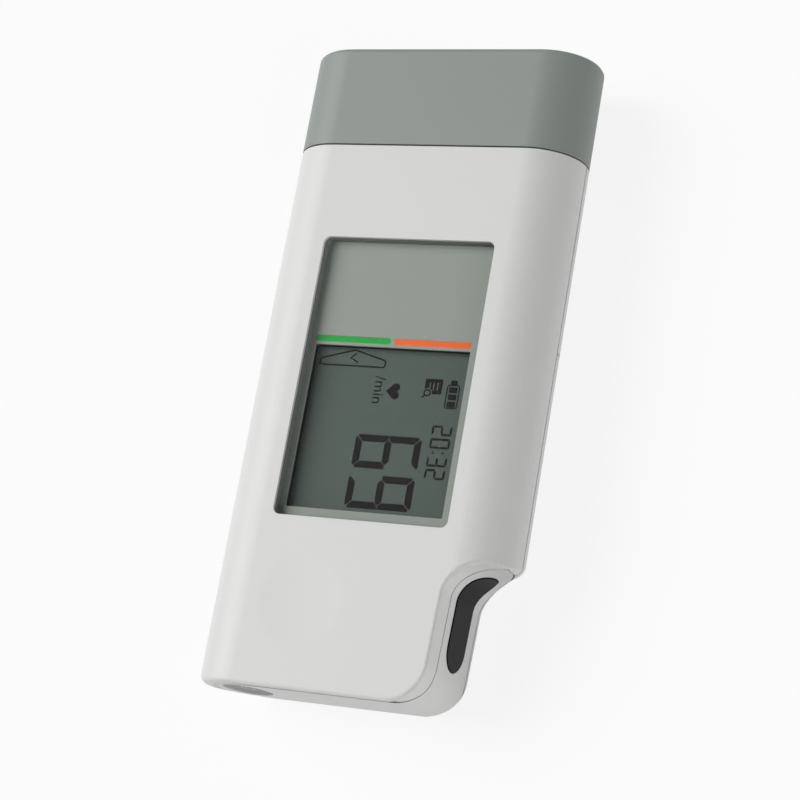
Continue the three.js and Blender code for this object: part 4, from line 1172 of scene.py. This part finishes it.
for name, side, nub_up in (("left", -1, True), ("right", 1, False)):
    heights = [cell_low + (height if nub_up else cell_length - height) for _, height in can_profile]
    spots = [(radius, height) for (radius, _), height in zip(can_profile, heights)]
    can = turned(spots, "Y", column_x(side), cell_z, 72)
    piece = finish_piece("can_" + name, can, jacket_wrap, "housing", ["cell_" + name])
    piece.data.materials.append(bright_steel)
    for face in piece.data.polygons:
        away = math.hypot(face.center.x * 1000 - column_x(side), face.center.z * 1000 - cell_z)
        face.material_index = 1 if away < bare_radius - 0.02 else 0

# %% [markdown]
# ## Springs, contact plates and screws
# Each spring is a coil that tapers from its plate to the cell. A spin could not taper, so it is a curve
# with a round bevel, made a mesh. The plates get the small edges that stamped steel has, and a boss where
# a cell's nub touches. A screw is turned, with a six-sided socket.

# %% Springs
plate_thick, wire_radius, spring_turns, turn_steps = 0.4, 0.2, 2.5, 32
contact_room, wide_end, narrow_end = 3.0, 3.3, 2.1
for name, side, at_top in (("lower", -1, False), ("upper", 1, True)):
    start = seat + plate_thick + wire_radius + seat
    stop = contact_room - wire_radius - seat
    curve = bpy.data.curves.new("coil", "CURVE")
    curve.dimensions = "3D"
    curve.bevel_depth = wire_radius
    curve.bevel_resolution = 3
    curve.use_fill_caps = True
    spline = curve.splines.new("POLY")
    count = int(spring_turns * turn_steps)
    spline.points.add(count)
    for index, point in enumerate(spline.points):
        share, angle = index / count, index / turn_steps * 2 * math.pi
        radius, along = mixed(wide_end, narrow_end, share), mixed(start, stop, share)
        y = bay_stop - along if at_top else bay_start + along
        point.co = (column_x(side) + radius * math.cos(angle), y, cell_z + radius * math.sin(angle), 1)
    finish_piece("coil_" + name, mesh_of(curve), bright_steel, "housing",
                 ["spring_" + name], crease=60, weigh=False)

# %% Contact plates
def contact(columns, at_top, nub_column=None):
    """Stamped plate on a wall of the bay, with a round boss for the cell's nub."""
    wall_face = bay_stop - seat if at_top else bay_start + seat
    inner = wall_face - plate_thick if at_top else wall_face + plate_thick
    spots = [column_x(column) for column in columns]
    shape = rectangle(min(spots) - 4.3, max(spots) + 4.3, cell_z - 4, cell_z + 4, 0.8, 5)
    sheet = bevelled(prism(shape, "Y", min(wall_face, inner), max(wall_face, inner)), 0.08, 2)
    if nub_column is None:
        return sheet
    reach = contact_room - 0.2
    nub_face = bay_stop - reach if at_top else bay_start + reach
    low, high = min(nub_face, wall_face), max(nub_face, wall_face)
    boss = cylinder(nub_radius, "Y", low, high, column_x(nub_column), cell_z, 40)
    return join(sheet, bevelled(boss, 0.15, 2))


contacts = {
    "bridge": contact([-1, 1], False, 1), "plus": contact([-1], True, -1), "minus": contact([1], True),
}
for name, sheet in contacts.items():
    finish_piece("plate_" + name, sheet, bright_steel, "housing", ["contact_" + name])

# %% Screws
screw_profile = [
    (0, screw_low), (1.6, screw_low), (1.82, screw_low + 0.15), (head_radius, screw_low + 0.4),
    (head_radius, head_top), (screw_radius, head_top), (screw_radius, screw_top - 0.3),
    (screw_radius - 0.3, screw_top), (0, screw_top),
]
for name, (x, y) in zip(("lower_left", "lower_right", "upper_left", "upper_right"), screw_spots):
    shank = turned(screw_profile, "Z", x, y, 48)
    socket = cylinder(0.8, "Z", screw_low - overrun, screw_low + 0.7, x, y, 6)
    finish_piece("bolt_" + name, cut(shank, socket), screw_steel, "housing",
                 ["screw_" + name])

# %% [markdown]
# ## Stage, light and background
# The case lies on a plain pale floor. One wide lamp from the upper left gives the flanks their gradient,
# two weaker ones stand for cards at the right, and a faint even world fills the shadows. The camera sees
# the world as white and the floor as near white, also through the window or in a reflection, but the
# floor keeps the shadow.

# %% Floor
floor_half, floor_drop, white_share = 3.0, 0.0002, 0.86
bm = bmesh.new()
bmesh.ops.create_grid(bm, x_segments=1, y_segments=1, size=floor_half)
floor_mesh = closed(bm)
floor_mesh.transform(Matrix.Translation((0, 0, -floor_drop)))
floor = bpy.data.objects.new("floor", floor_mesh)
scene.collection.objects.link(floor)

paper = Finish("floor_paper", Roughness=0.9)
paper.drive("Base Color", paper.blend(paper.noise(3.0), colour(232, 232, 232), colour(236, 236, 236)))
glow = paper.node("ShaderNodeEmission", None, {"Color": (1, 1, 1, 1), "Strength": 1.0}).out("Emission")
body = Wire(paper, paper.shader.outputs[0])
lit = paper.node("ShaderNodeMixShader", None, {0: paper.seen_directly() * white_share, 1: body, 2: glow})
paper.feed(paper.tree.nodes["Material Output"].inputs["Surface"], lit.out("Shader"))
floor_mesh.materials.append(paper.material)
print("floor seen as white, share:", white_share)

# %% Lamps and world
def soft_lamp(name, towards, share, spread=50):
    """A wide distant lamp; a share of 1 shows a colour as it is on a surface that faces it."""
    data = bpy.data.lights.new(name, "SUN")
    data.energy = share * math.pi
    data.angle = math.radians(spread)
    lamp = bpy.data.objects.new(name, data)
    lamp.rotation_euler = Vector(towards).to_track_quat("Z", "Y").to_euler()
    scene.collection.objects.link(lamp)


soft_lamp("upper_left_window", (-0.70, 0.10, 0.70), 0.97)
soft_lamp("right_card", (0.95, -0.10, 0.30), 0.12)
soft_lamp("near_right_card", (0.75, -0.60, 0.20), 0.42)
fill_strength, white_strength = 0.10, 1.0

world = bpy.data.worlds.new("studio")
world.use_nodes = True
scene.world = world
sky = Network(world.node_tree)
fill, backdrop = [sky.node("ShaderNodeBackground", None, {"Color": (1, 1, 1, 1), "Strength": strength})
                  for strength in (fill_strength, white_strength)]
whole = sky.node("ShaderNodeMixShader", None,
                 {0: sky.seen_directly(), 1: fill.out("Background"), 2: backdrop.out("Background")})
sky.feed(sky.tree.nodes["World Output"].inputs["Surface"], whole.out("Shader"))
scene.view_settings.view_transform = "Standard"
print("lamps:", len(bpy.data.lights))

# %% [markdown]
# ## Finishes of the carried-over pieces
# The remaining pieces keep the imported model's shapes. Each gets the finish of its real counterpart.

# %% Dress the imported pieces
dress = {
    "lcd_glass": lcd_face, "lcd_holder": inner_white, "zebra_strip_lower": strip_rubber,
    "zebra_strip_upper": strip_rubber, "main_board": board_green, "processor_chip": chip_black,
    "amplifier_chip": chip_black, "switch_plunger": chip_black, "power_switch": bright_steel,
    "finger_lead": bright_steel, "chest_lead": bright_steel,
}
for name, material in dress.items():
    materials = nodes[name].data.materials
    materials.clear()
    materials.append(material)
print("dressed:", len(dress))
